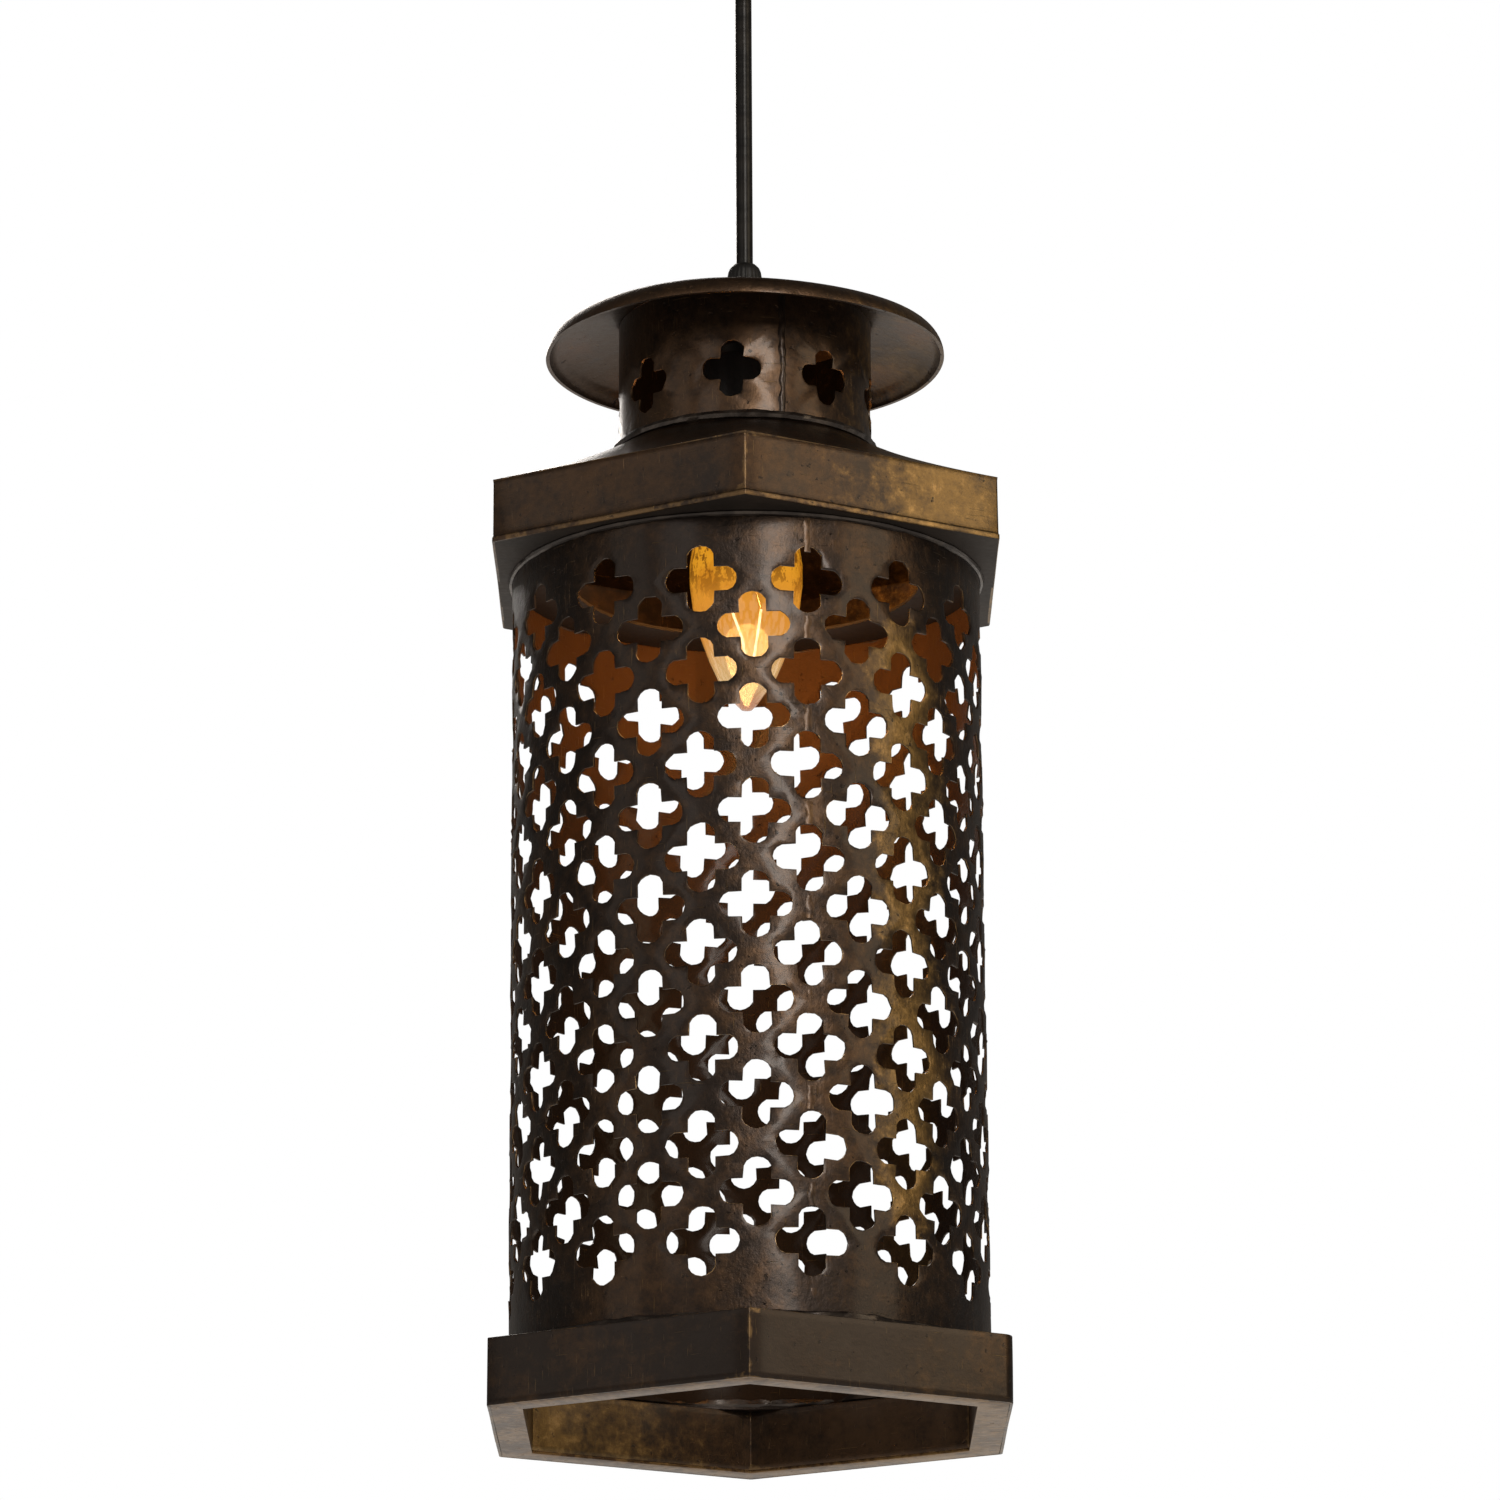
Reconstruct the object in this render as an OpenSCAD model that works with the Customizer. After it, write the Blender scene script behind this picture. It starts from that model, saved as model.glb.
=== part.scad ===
// Hanging lantern: a pierced round shade between a hexagonal foot ring and a hexagonal cap,
// with a vented neck, a spun dome, a candle lamp inside and a cord up to a ceiling rose.
// The origin is the centre of the mounting strap's back face, on the ceiling, and +Z is up.

/* [Shade] */
// Diameter of the shade over its flats
shade_d = 150.4; // [148:0.2:153]
// Height of the shade
shade_h = 254.8; // [250:0.2:270]
// Thickness of the brass sheet
sheet = 1; // [0.8:0.1:1.2]

/* [Piercing] */
// Number of straight columns of holes, with a staggered column between each two
columns = 15; // [13:1:15]
// Number of holes in a straight column
rows = 8; // [4:1:8]
// Height from one hole to the next in a column
row_pitch = 29.8; // [27:0.1:30]
// Height from the shade's top edge to the first hole's centre
top_margin = 23.6; // [18:0.1:26]
// Turn of the first column from the front
column_turn = -9.6; // [-12:0.1:12]
// Radius of each of a hole's four lobes
lobe_r = 4.5; // [4.45:0.01:4.6]
// Distance of a lobe's centre from the hole's centre
lobe_reach = 6.2; // [6:0.05:6.25]

/* [Hexagon] */
// Width of the ring and the cap across their flats
hex_w = 160; // [158:1:166]
// Height of the foot ring
ring_h = 21; // [18:0.5:26]
// Width of the foot ring's flat underside
ring_band = 10.75; // [8:0.25:10.75]
// Height of the cap's upright walls
cap_wall_h = 20.7; // [16:0.1:26]
// Radius of the opening in the cap's floor
cap_opening_r = 56; // [45:1:65]

/* [Roof and neck] */
// Height of the roof from the walls up to the neck
roof_rise = 22.5; // [22:0.5:26]
// Diameter of the neck
neck_d = 82; // [78:0.5:86]
// Number of vent holes round the neck
vents = 8; // [6:1:8]
// Turn of the first vent from the front
vent_turn = -6; // [-20:1:20]
// Radius of each of a vent's four lobes
vent_lobe_r = 4; // [3.7:0.05:4]
// Distance of a vent lobe's centre from the vent's centre
vent_reach = 5.2; // [4.6:0.05:5.2]

/* [Dome] */
// Diameter of the dome
dome_d = 130; // [120:1:136]
// Thickness of the dome
dome_t = 1.2; // [1:0.1:1.4]
// Radius of the dome's turned-down edge
dome_edge_r = 7; // [5:0.5:8]
// Slope in degrees where the crown meets the turned-down edge
dome_slope = 19; // [18:0.5:20]
// Height of the neck between the roof and the dome
neck_h = 44.4; // [44.4:0.1:50]

/* [Suspension] */
// Diameter of the cord
cord_d = 5.5; // [5:0.1:5.6]
// Free length of cord between the two grips
cord_free = 106; // [106:1:600]
// Diameter of the ceiling canopy
canopy_d = 120; // [116:1:130]
// Height of the ceiling canopy
canopy_h = 24; // [24:1:30]
// Length of the mounting strap
strap_l = 108; // [106:1:110]
// Distance between the centres of the strap's two slots
slot_spacing = 60; // [56:1:64]
// Length of each slot
slot_l = 16; // [12:1:18]
// Width of each slot
slot_w = 4.6; // [4.2:0.1:5]

/* [Hidden] */

// Facets round a large part, a small part and the shade's solder, and the thinnest slice of a hull
fine = 96;
small = 32;
finest = 300;
slice = 0.01;

// Cord grips: a moulded cone that screws on an M10 nipple and closes round the cord
grip_h = 15;
grip_base_r = 7.2;
grip_waist_r = 5.6;
grip_mouth_r = 3.8;
grip_gap = 0.1;
pivot_depth = 1.5;
cord_room = 0.35;
nipple_r = 5;
nipple_bore_r = 3.2;
thread_room = 0.06;
washer_t = 1;
washer_r = 12;
nut_w = 14;
nut_h = 4;

// Levels above the lantern's own bottom
shade_top = ring_h + shade_h;
wall_top = shade_top + cap_wall_h;
neck_z = wall_top + roof_rise;
neck_r = neck_d / 2;
crown_r = (dome_d / 2 - dome_edge_r * (1 - sin(dome_slope))) / sin(dome_slope);
crown_drop = crown_r * (1 - cos(dome_slope));
crown_under = crown_r - dome_t;
crown_foot = crown_r - sqrt(pow(crown_under, 2) - pow(neck_r, 2));
dome_top = neck_z + neck_h + crown_foot + 0.05;
lantern_h = dome_top + washer_t + grip_gap + grip_h;
lantern_z = -(canopy_h + grip_h + cord_free + lantern_h);

// Foot and height of the solder run in the front corner of the ring and of the cap
corner_runs = [[sheet, ring_h - 2 * sheet], [shade_top + sheet, cap_wall_h - sheet]];

// Where the cord bends at each grip
canopy_pivot = -(canopy_h + grip_h - pivot_depth);
lantern_pivot = lantern_z + lantern_h - pivot_depth;
cord_end_gap = 1.2;

// The cord's route, straight down from the canopy to the lantern
cord_route = [
    [0, 0, canopy_pivot], [0, 0, -52], [0, 0, -66], [0, 0, -80], [0, 0, -94], [0, 0, -108], [0, 0, -122],
    [0, 0, -135], [0, 0, lantern_pivot]
];

// Ceiling rose
strap_t = 1.6;
strap_w = 18;
stud_x = 47;
stud_r = 2;
stud_reach = 4;
stud_head_r = 3.4;
stud_head_h = 1.2;
stud_hole_r = 2.2;
ground_y = 5;
ground_head_r = 4;
ground_head_h = 2.4;
canopy_edge_r = 8;
cap_nut_r = 4.5;
cap_nut_h = 3.5;
nipple_h = 16;
tail_top = -14;
lead_gap = 0.1;
connector_y = 21;
connector_z = -12;
connector_xs = [-24, 0, 24];
lead_r = 0.75;

// Shade, rolled from a sheet that lies flat at each column of holes
facets = 2 * columns;
shade_r = shade_d / 2;
punch_d = 40;
punch_from = 60;
seam_turn = column_turn + 360 / columns;
bridge_h = row_pitch - 2 * (lobe_reach + lobe_r) - 1;
inner_w = hex_w - 2 * ring_band;
vent_z = 16.2;

// Lamp holder and bulb, from the lantern's own bottom
holder_r = 13.5;
holder_wall = 1.5;
holder_z = 318;
core_z = 320;
core_h = 26;
holder_cap_z = 346;
holder_cap_h = 16;
nipple_z = holder_cap_z + holder_cap_h - 4;
sheath_end = nipple_z + 1;
washer_top = dome_top - crown_r + sqrt(pow(crown_under, 2) - pow(washer_r, 2)) - 0.05;
thread_r = 7.2;
thread_h = 19;
bulb_cap_r = 6.9;
bulb_cap_z = 317;
bulb_cap_h = 21.5;
glass_t = 0.6;
bulb_tip = 233.3;
bulb_top = 322;
bulb_outline = [
    [0, bulb_tip], [1.8, 233.7], [3.6, 235.8], [5.6, 238.6], [9, 243.2], [12, 250], [15, 258.4],
    [17.2, 267], [18.2, 275], [18.3, 282], [17, 291], [14, 300], [10.4, 308], [7.6, 313.5], [6.5, 316.8]
];

function unit(v) = v / norm(v);
function heading(p, i) = unit(p[min(i + 1, len(p) - 1)] - p[max(i - 1, 0)]);
function square_to(n, t) = unit(n - (n * t) * t);

// Directions across the path, carried along it without twist
function sides_of(p, n, i = 0) =
    i == len(p) ? [] : let (m = square_to(n, heading(p, i))) concat([m], sides_of(p, m, i + 1));

// Points on a smooth curve through the given points, with so many steps from each to the next
function bend(a, b, c, d, t) = 0.5 * (2 * b + (c - a) * t
    + (2 * a - 5 * b + 4 * c - d) * pow(t, 2)
    + (3 * b - a - 3 * c + d) * pow(t, 3));
function smooth(p, steps) = concat(
    [for (i = [0:len(p) - 2], s = [0:steps - 1])
        bend(p[max(i - 1, 0)], p[i], p[i + 1], p[min(i + 2, len(p) - 1)], s / steps)],
    [p[len(p) - 1]]
);
function hex(w) = [for (k = [0:5]) w / sqrt(3) * [sin(60 * k), cos(60 * k)]];
function facet_ring(r) = [for (k = [0:facets - 1]) let (a = column_turn - 90 + 360 * (k + 0.5) / facets)
    r / cos(180 / facets) * [cos(a), sin(a)]];
function arc(r, a, b, steps) = [for (s = [0:steps]) let (t = a + (b - a) * s / steps) r * [sin(t), cos(t)]];
function moved(points, by) = [for (p = points) p + by];
function reversed(points) = [for (i = [len(points) - 1:-1:0]) points[i]];

// Half outline of one face of the dome, from its centre out to its rim
function dome_face(inset) =
    let (rise = dome_top - crown_r, edge_r = dome_d / 2 - dome_edge_r, edge_z = dome_top - crown_drop)
    concat(
        moved(arc(crown_r - inset, 0, dome_slope, 8), [0, rise]),
        moved(arc(dome_edge_r - inset, dome_slope, 90, 10), [edge_r, edge_z - dome_edge_r * cos(dome_slope)])
    );

module lift(z = 0) translate([0, 0, lantern_z + z]) children();
module on_both_sides(x) for (side = [-1, 1]) translate([side * x, 0, 0]) children();
module pipe(r, wall, h) difference() {
    cylinder(r = r, h = h, $fn = fine);
    translate([0, 0, -1]) cylinder(r = r - wall, h = h + 2, $fn = fine);
}
module hex_tube(w, wall, h) linear_extrude(h) difference() { polygon(hex(w)); polygon(hex(w - 2 * wall)); }
module hex_nut(bore_r) difference() {
    cylinder(r = nut_w / sqrt(3), h = nut_h, $fn = 6);
    translate([0, 0, -1]) cylinder(r = bore_r, h = nut_h + 2, $fn = small);
}
module quatrefoil(reach, lobe) {
    circle(r = 0.8 * lobe, $fn = small);
    for (turn = [0:90:270]) rotate(turn) translate([reach, 0]) circle(r = lobe, $fn = small);
}
module punch(turn, z, reach, lobe, from) rotate(turn) translate([0, -from, z]) rotate([90, 0, 0])
    linear_extrude(punch_d) quatrefoil(reach, lobe);

// A round tube swept along a path, closed at both ends
module tube(path, r, sides = 8) {
    across = sides_of(path, [1, 0, 0.01]);
    count = len(path);
    points = [for (i = [0:count - 1], k = [0:sides - 1])
        let (t = heading(path, i), n = across[i], a = 360 * k / sides)
        path[i] + r * (cos(a) * n + sin(a) * cross(t, n))];
    walls = [for (i = [0:count - 2], k = [0:sides - 1]) let (j = (k + 1) % sides)
        [i * sides + k, (i + 1) * sides + k, (i + 1) * sides + j, i * sides + j]];
    ends = [[for (k = [0:sides - 1]) k], [for (k = [sides - 1:-1:0]) (count - 1) * sides + k]];
    polyhedron(points, concat(walls, ends));
}

// The grip's bore is wide round the nipple, close round the cord, and flared at its mouth
module cord_grip() rotate_extrude($fn = 64) polygon(concat(
    [[nipple_r + thread_room, 0], [grip_base_r, 0], [grip_base_r, 3]],
    [[grip_waist_r, grip_h - 4.2], [grip_waist_r - 0.4, grip_h - 2]],
    moved(arc(1.4, 90, 20, 4), [grip_waist_r - 1.8, grip_h - 1.4]),
    [[grip_mouth_r, grip_h], [cord_d / 2 + cord_room, grip_h - pivot_depth]],
    [[cord_d / 2 + cord_room, 8.5], [nipple_r + thread_room, 8.5]]
));

/* Ceiling side */

module mounting_strap() color("#b9bcbe") translate([0, 0, -strap_t]) difference() {
    linear_extrude(strap_t) difference() {
        square([strap_l, strap_w], center = true);
        on_both_sides(slot_spacing / 2) {
            square([slot_l - slot_w, slot_w], center = true);
            on_both_sides((slot_l - slot_w) / 2) circle(d = slot_w, $fn = small);
        }
    }
    on_both_sides(stud_x) translate([0, 0, -1]) cylinder(r = stud_r, h = 4, $fn = small);
    translate([0, ground_y, -1]) cylinder(r = stud_r, h = 4, $fn = small);
}

// Two threaded studs riveted into the strap, which carry the canopy
module strap_studs() color("#c8cacb") on_both_sides(stud_x) {
    translate([0, 0, -canopy_h - stud_reach]) cylinder(r = stud_r, h = canopy_h + stud_reach, $fn = small);
    translate([0, 0, -strap_t - stud_head_h]) cylinder(r = stud_head_r, h = stud_head_h, $fn = small);
}

module ground_screw() color("#3f7d4a") translate([0, ground_y, 0]) {
    translate([0, 0, -strap_t - 3]) cylinder(r = stud_r, h = strap_t + 3, $fn = small);
    translate([0, 0, -strap_t - 5]) cylinder(r = ground_head_r, h = ground_head_h, $fn = small);
}

module canopy() color("#4a3a2b") difference() {
    rotate_extrude($fn = fine) polygon(concat(
        [[nipple_r, -canopy_h]],
        moved(arc(canopy_edge_r, 180, 90, 8), [canopy_d / 2 - canopy_edge_r, canopy_edge_r - canopy_h]),
        [[canopy_d / 2, 0], [canopy_d / 2 - sheet, 0]],
        reversed(moved(arc(canopy_edge_r - sheet, 180, 90, 8),
            [canopy_d / 2 - canopy_edge_r, canopy_edge_r - canopy_h])),
        [[nipple_r, sheet - canopy_h]]
    ));
    on_both_sides(stud_x) translate([0, 0, -canopy_h - 1]) cylinder(r = stud_hole_r, h = 4, $fn = small);
}

// Domed nuts that hold the canopy up against the ceiling
module cap_nuts() color("#4a3a2b") on_both_sides(stud_x) translate([0, 0, -canopy_h])
    rotate_extrude($fn = small) polygon(concat(
        [[stud_r, -stud_reach], [stud_r, 0], [cap_nut_r, 0]],
        moved(arc(cap_nut_r, 90, 180, 8), [0, -cap_nut_h]),
        [[0, -stud_reach]]
    ));

module canopy_nipple() color("#c2a24c") translate([0, 0, -canopy_h - nipple_h / 2])
    pipe(nipple_r, nipple_r - nipple_bore_r, nipple_h);
module canopy_locknut() color("#b9bcbe") translate([0, 0, sheet - canopy_h]) hex_nut(nipple_r);
module canopy_cord_grip() color("#1b1b1c") translate([0, 0, -canopy_h]) mirror([0, 0, 1]) cord_grip();

// The cord's sheath inside the grip and the nipple, up to where its cores leave it
module canopy_cord_tail() color("#161616")
    translate([0, 0, canopy_pivot + cord_end_gap])
        cylinder(d = cord_d, h = tail_top - canopy_pivot - cord_end_gap, $fn = small);

module canopy_leads() color("#6b4a2f") for (i = [0:2]) let (x = connector_xs[i])
    tube(smooth([
        [(i - 1) * 1.8, 0.6, tail_top], [(i - 1) * 3, 2, tail_top + 4], [x / 3, 9, -8.5],
        [x * 0.8, 14, -10], [x, connector_y - 3, connector_z], [x, connector_y - lead_gap, connector_z]
    ], 4), lead_r);

// Twist-on connectors that join the cord's cores to the supply
module wire_connectors() color("#c98a2e") for (x = connector_xs)
    translate([x, connector_y, connector_z]) rotate([-90, 0, 0]) rotate_extrude($fn = small)
        polygon([[0, 0], [5.4, 0], [5.4, 4], [4.8, 5], [3, 17], [2, 18], [0, 18]]);

/* Cord */

module cord() color("#141414") tube(cord_route, cord_d / 2);

/* Lantern suspension */

module lantern_cord_grip() color("#1b1b1c") lift(dome_top + washer_t + grip_gap) cord_grip();
module dome_washer() color("#4a3a2b") lift(dome_top) pipe(9, 9 - nipple_r, washer_t);

module lantern_nipple() color("#c2a24c")
    lift(nipple_z) pipe(nipple_r, nipple_r - nipple_bore_r, dome_top + washer_t + 8 - nipple_z);

module under_washer() color("#b9bcbe") lift(washer_top - washer_t)
    pipe(washer_r, washer_r - nipple_r, washer_t);
module lantern_locknut() color("#b9bcbe") lift(washer_top - washer_t - nut_h) hex_nut(nipple_r);

module lantern_cord_tail() color("#161616") lift(sheath_end)
    cylinder(d = cord_d, h = lantern_h - pivot_depth - cord_end_gap - sheath_end, $fn = small);

/* Lantern body */

module dome() color("#4d3d30") lift() rotate_extrude($fn = fine) difference() {
    polygon(concat(dome_face(0), reversed(dome_face(dome_t))));
    translate([0, dome_top - 10]) square([nipple_r, 20]);
}

module neck() color("#6b5a48") lift(neck_z) difference() {
    pipe(neck_r, sheet, neck_h);
    for (k = [0:vents - 1]) punch(vent_turn + 360 * k / vents, vent_z, vent_reach, vent_lobe_r, neck_r / 2);
}

// Fillet of solder between the neck and the roof
module neck_solder() color("#8d8478") lift(neck_z) rotate_extrude($fn = fine)
    polygon([[neck_r, 0], [neck_r + 3.2, -1.1], [neck_r + 1.2, 1.8], [neck_r, 3.6]]);

// The roof runs from the hexagon of the walls to the circle of the neck
module roof_solid(w, r) hull() {
    linear_extrude(slice) polygon(hex(w));
    translate([0, 0, roof_rise - slice]) cylinder(r = r, h = slice, $fn = 48);
}
module roof() color("#43382c") lift(wall_top) difference() {
    roof_solid(hex_w, neck_r);
    translate([0, 0, -sheet]) roof_solid(hex_w - 2 * sheet, neck_r - sheet);
    cylinder(r = neck_r - sheet, h = roof_rise + 1, $fn = fine);
}

module cap_walls() color("#453829") lift(shade_top) hex_tube(hex_w, sheet, cap_wall_h);
module cap_floor() color("#3b3026") lift(shade_top) difference() {
    linear_extrude(sheet) polygon(hex(hex_w - 2 * sheet));
    translate([0, 0, -1]) cylinder(r = cap_opening_r, h = 4, $fn = fine);
}

// Solder run down inside the front corner of the ring and of the cap
module corner_solder() color("#8d8478") for (run = corner_runs)
    lift(run[0]) linear_extrude(run[1]) intersection() {
        polygon(hex(hex_w - 2 * sheet));
        translate([0, -hex_w / sqrt(3)]) square([12, 8], center = true);
    }

module shade() color("#5a4632") lift(ring_h) difference() {
    linear_extrude(shade_h) difference() {
        polygon(facet_ring(shade_r));
        polygon(facet_ring(shade_r - sheet));
    }
    for (k = [0:facets - 1], i = [0:rows - 1 - k % 2])
        punch(column_turn + 360 * k / facets, shade_h - top_margin - (i + k % 2 / 2) * row_pitch,
            lobe_reach, lobe_r, punch_from);
}

// Solder bridges down the inside of the rolled sheet's joint, between the holes of one column
module shade_seam() color("#8d8478") for (i = [0:rows - 2])
    lift(shade_top - top_margin - (i + 0.5) * row_pitch - bridge_h / 2) rotate(seam_turn)
        translate([-2.5, -shade_r + sheet, 0]) cube([5, 0.8, bridge_h]);

module solder_fillet(leg, top) difference() {
    rotate_extrude($fn = finest) polygon(
        top ? [[shade_r - 0.5, 0], [shade_r + leg, 0], [shade_r + 0.9, -leg], [shade_r - 0.5, -leg]]
            : [[shade_r - 0.5, 0], [shade_r + leg, 0], [shade_r + 0.9, leg], [shade_r - 0.5, leg]]);
    translate([0, 0, -10]) linear_extrude(20) polygon(facet_ring(shade_r));
}
module shade_top_solder() color("#8d8478") lift(shade_top) solder_fillet(1.6, true);
module shade_foot_solder() color("#8d8478") lift(ring_h) solder_fillet(3, false);

module ring_plate() linear_extrude(sheet) difference() {
    polygon(hex(hex_w - 2 * sheet));
    polygon(hex(inner_w));
}
module ring_top_plate() color("#453a2e") lift(ring_h - sheet) ring_plate();
module ring_outer_band() color("#4a3d2c") lift() hex_tube(hex_w, sheet, ring_h);
module ring_inner_band() color("#6a4a30") lift(sheet)
    hex_tube(inner_w + 2 * sheet, sheet, ring_h - 2 * sheet);
module ring_bottom_plate() color("#8a7c6c") lift() ring_plate();

/* Lamp holder */

module holder_cap() color("#1d1b1a") lift(holder_cap_z) rotate_extrude($fn = 64) polygon([
    [nipple_r, holder_cap_h], [7.6, holder_cap_h], [8.4, holder_cap_h - 0.8], [8.8, 10],
    [holder_r - 0.6, 5.5], [holder_r, 4.6], [holder_r, 0], [holder_r - holder_wall, 0],
    [holder_r - holder_wall, 4],
    [nipple_r + 1.6, 8.5], [nipple_r + 1.6, 11.5], [nipple_r, 11.5]
]);
module holder_shell() color("#1d1b1a") lift(holder_z) pipe(holder_r, holder_wall, holder_cap_z - holder_z);
module holder_core() color("#d9d4c8") lift(core_z) rotate_extrude($fn = 64) polygon([
    [thread_r + 0.6, 0], [holder_r - holder_wall, 0], [holder_r - holder_wall, core_h], [0, core_h],
    [0, thread_h + 2.4], [thread_r + 0.6, thread_h + 2.4]
]);
module holder_thread() color("#c2a24c") lift(core_z) pipe(thread_r + 0.6, 0.6, thread_h);
module holder_contact() color("#c2a24c") lift(core_z + thread_h) {
    cylinder(r = 2.6, h = 0.6, $fn = small);
    translate([0, 0, 0.6]) cylinder(r = 1, h = 1.8, $fn = small);
}
module holder_terminals() color("#c2a24c") on_both_sides(8)
    lift(holder_cap_z) cylinder(r = 1.8, h = 1.6, $fn = small);
module holder_leads() color("#6b4a2f") lift() for (turn = [0, 180]) rotate(turn) tube(smooth([
    [1.4, 0, sheath_end], [1.5, 0, sheath_end - 5], [4.4, 0, holder_cap_z + 5.5],
    [8, 0, holder_cap_z + 3.4], [8, 0, holder_cap_z + 1.6 + lead_gap]
], 4), 0.6);

/* Bulb */

// The glass is blown round a hollow, and closed at its top where the stem is melted in
module glass_outline(inset) polygon(concat(
    [for (p = smooth(bulb_outline, 2)) [max(p[0] - inset, 0), p[1] + inset * max(0, 1 - p[0] / 18)]],
    [[6.5 - inset, bulb_top - inset], [0, bulb_top - inset]]
));
module bulb_glass() color([0.9, 0.62, 0.4, 0.35]) lift() rotate_extrude($fn = 64) difference() {
    glass_outline(0);
    glass_outline(glass_t);
}
module bulb_cap() color("#c2a24c") lift(bulb_cap_z) pipe(bulb_cap_r, 0.3, bulb_cap_h - 2);
module bulb_insulator() color("#201a18") lift(bulb_cap_z + bulb_cap_h - 2) rotate_extrude($fn = small)
    polygon([[0, 0], [bulb_cap_r, 0], [3, 2], [2.4, 2], [2.4, 1], [0, 1]]);
module bulb_contact() color("#b8b8b4") lift(bulb_cap_z + bulb_cap_h - 1)
    cylinder(r = 2.4, h = 1.4, $fn = small);
module bulb_stem() color([0.9, 0.75, 0.6, 0.4]) lift() rotate_extrude($fn = small)
    polygon([
        [0, 288], [1, 287], [2.6, 287.6], [2.6, 289.4], [1.6, 291], [1.6, 308],
        [5, bulb_top - glass_t], [0, bulb_top - glass_t]
    ]);
module bulb_supports() color("#9a938a") lift() for (turn = [0, 180]) rotate(turn)
    tube([[1.2, 0, 287], [2.4, 0, 278], [4.8, 0, 268]], 0.3);
module bulb_filament() color("#ffb050") lift() tube(smooth([
    [-4.8, 0, 267.4], [-1.6, -1, 258], [1.6, -2, 249.6], [3, -0.6, 255], [4.8, 0, 267.4]
], 3), 0.35);

mounting_strap();
strap_studs();
ground_screw();
canopy();
cap_nuts();
canopy_nipple();
canopy_locknut();
canopy_cord_grip();
canopy_cord_tail();
canopy_leads();
wire_connectors();
cord();
lantern_cord_grip();
dome_washer();
lantern_nipple();
under_washer();
lantern_locknut();
lantern_cord_tail();
dome();
neck();
neck_solder();
roof();
cap_walls();
cap_floor();
corner_solder();
shade();
shade_seam();
shade_top_solder();
shade_foot_solder();
ring_top_plate();
ring_outer_band();
ring_inner_band();
ring_bottom_plate();
holder_cap();
holder_shell();
holder_core();
holder_thread();
holder_contact();
holder_terminals();
holder_leads();
bulb_glass();
bulb_cap();
bulb_insulator();
bulb_contact();
bulb_stem();
bulb_supports();
bulb_filament();
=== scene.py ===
import math
import random

import bmesh
import bpy
from bpy.props import FloatProperty, FloatVectorProperty, IntProperty, PointerProperty
from mathutils import Matrix, Vector, noise


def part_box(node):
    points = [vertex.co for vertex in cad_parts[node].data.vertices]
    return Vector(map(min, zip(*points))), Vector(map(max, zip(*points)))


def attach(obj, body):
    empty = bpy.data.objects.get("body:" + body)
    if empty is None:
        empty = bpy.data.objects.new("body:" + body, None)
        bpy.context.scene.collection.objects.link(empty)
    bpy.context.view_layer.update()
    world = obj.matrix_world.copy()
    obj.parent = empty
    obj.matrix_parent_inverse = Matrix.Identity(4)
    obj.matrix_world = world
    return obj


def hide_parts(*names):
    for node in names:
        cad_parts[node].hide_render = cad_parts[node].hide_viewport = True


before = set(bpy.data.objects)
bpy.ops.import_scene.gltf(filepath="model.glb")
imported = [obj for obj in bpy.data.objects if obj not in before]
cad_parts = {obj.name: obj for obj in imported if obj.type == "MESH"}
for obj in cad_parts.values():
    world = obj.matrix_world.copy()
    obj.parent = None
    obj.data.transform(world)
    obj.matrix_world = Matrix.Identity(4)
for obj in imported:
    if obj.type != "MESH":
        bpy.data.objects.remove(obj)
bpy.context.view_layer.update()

bl_info = {
    "name": "Pierced brass hanging lantern",
    "version": (1, 0, 0),
    "blender": (4, 5, 0),
    "location": "3D View > Sidebar > Lantern",
    "description": "Builds a pierced, patinated brass lantern round its packed frame",
    "category": "Object",
}

MM = 0.001
SLANT = 1 / math.cos(math.pi / 6)

# Levels and widths of the lantern, from the frame
FOOT_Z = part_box("ring_outer_band")[0].z
RING_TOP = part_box("ring_outer_band")[1].z
SHADE_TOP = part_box("shade")[1].z
WALL_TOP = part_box("cap_walls")[1].z
NECK_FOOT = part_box("roof")[1].z
NECK_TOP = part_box("neck")[1].z
NECK_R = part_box("neck")[1].x
DOME_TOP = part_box("dome")[1].z
DOME_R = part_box("dome")[1].x
HEX_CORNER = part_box("ring_outer_band")[1].y
BAND_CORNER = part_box("ring_inner_band")[1].y
CANOPY_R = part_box("canopy")[1].x
CANOPY_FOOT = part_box("canopy")[0].z
GRIP_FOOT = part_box("lantern_cord_grip")[0].z
BULB_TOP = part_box("bulb_glass")[1].z
UPPER_GRIP_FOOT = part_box("canopy_cord_grip")[1].z

# Widths that the frame doesn't give: the round shade, and the openings of the plates at its ends
SHADE_R = 75.3 * MM
RING_OPENING_R = 74.6 * MM
CAP_OPENING_R = 56 * MM

# The cord's route, from the mouth of the upper grip down to the mouth of the lower one
CORD_ROUTE = [
    (0, 0, -0.0375), (0, 0, -0.052), (0, 0, -0.066), (0, 0, -0.080), (0, 0, -0.094),
    (0, 0, -0.108), (0, 0, -0.122), (0, 0, -0.135), (0, 0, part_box("cord")[0].z),
]


# Settings

def length(name, description, default):
    return FloatProperty(name=name, description=description, default=default, min=0, unit="LENGTH")


def colour(name, description, default):
    return FloatVectorProperty(name=name, description=description, default=default, subtype="COLOR")


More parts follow.
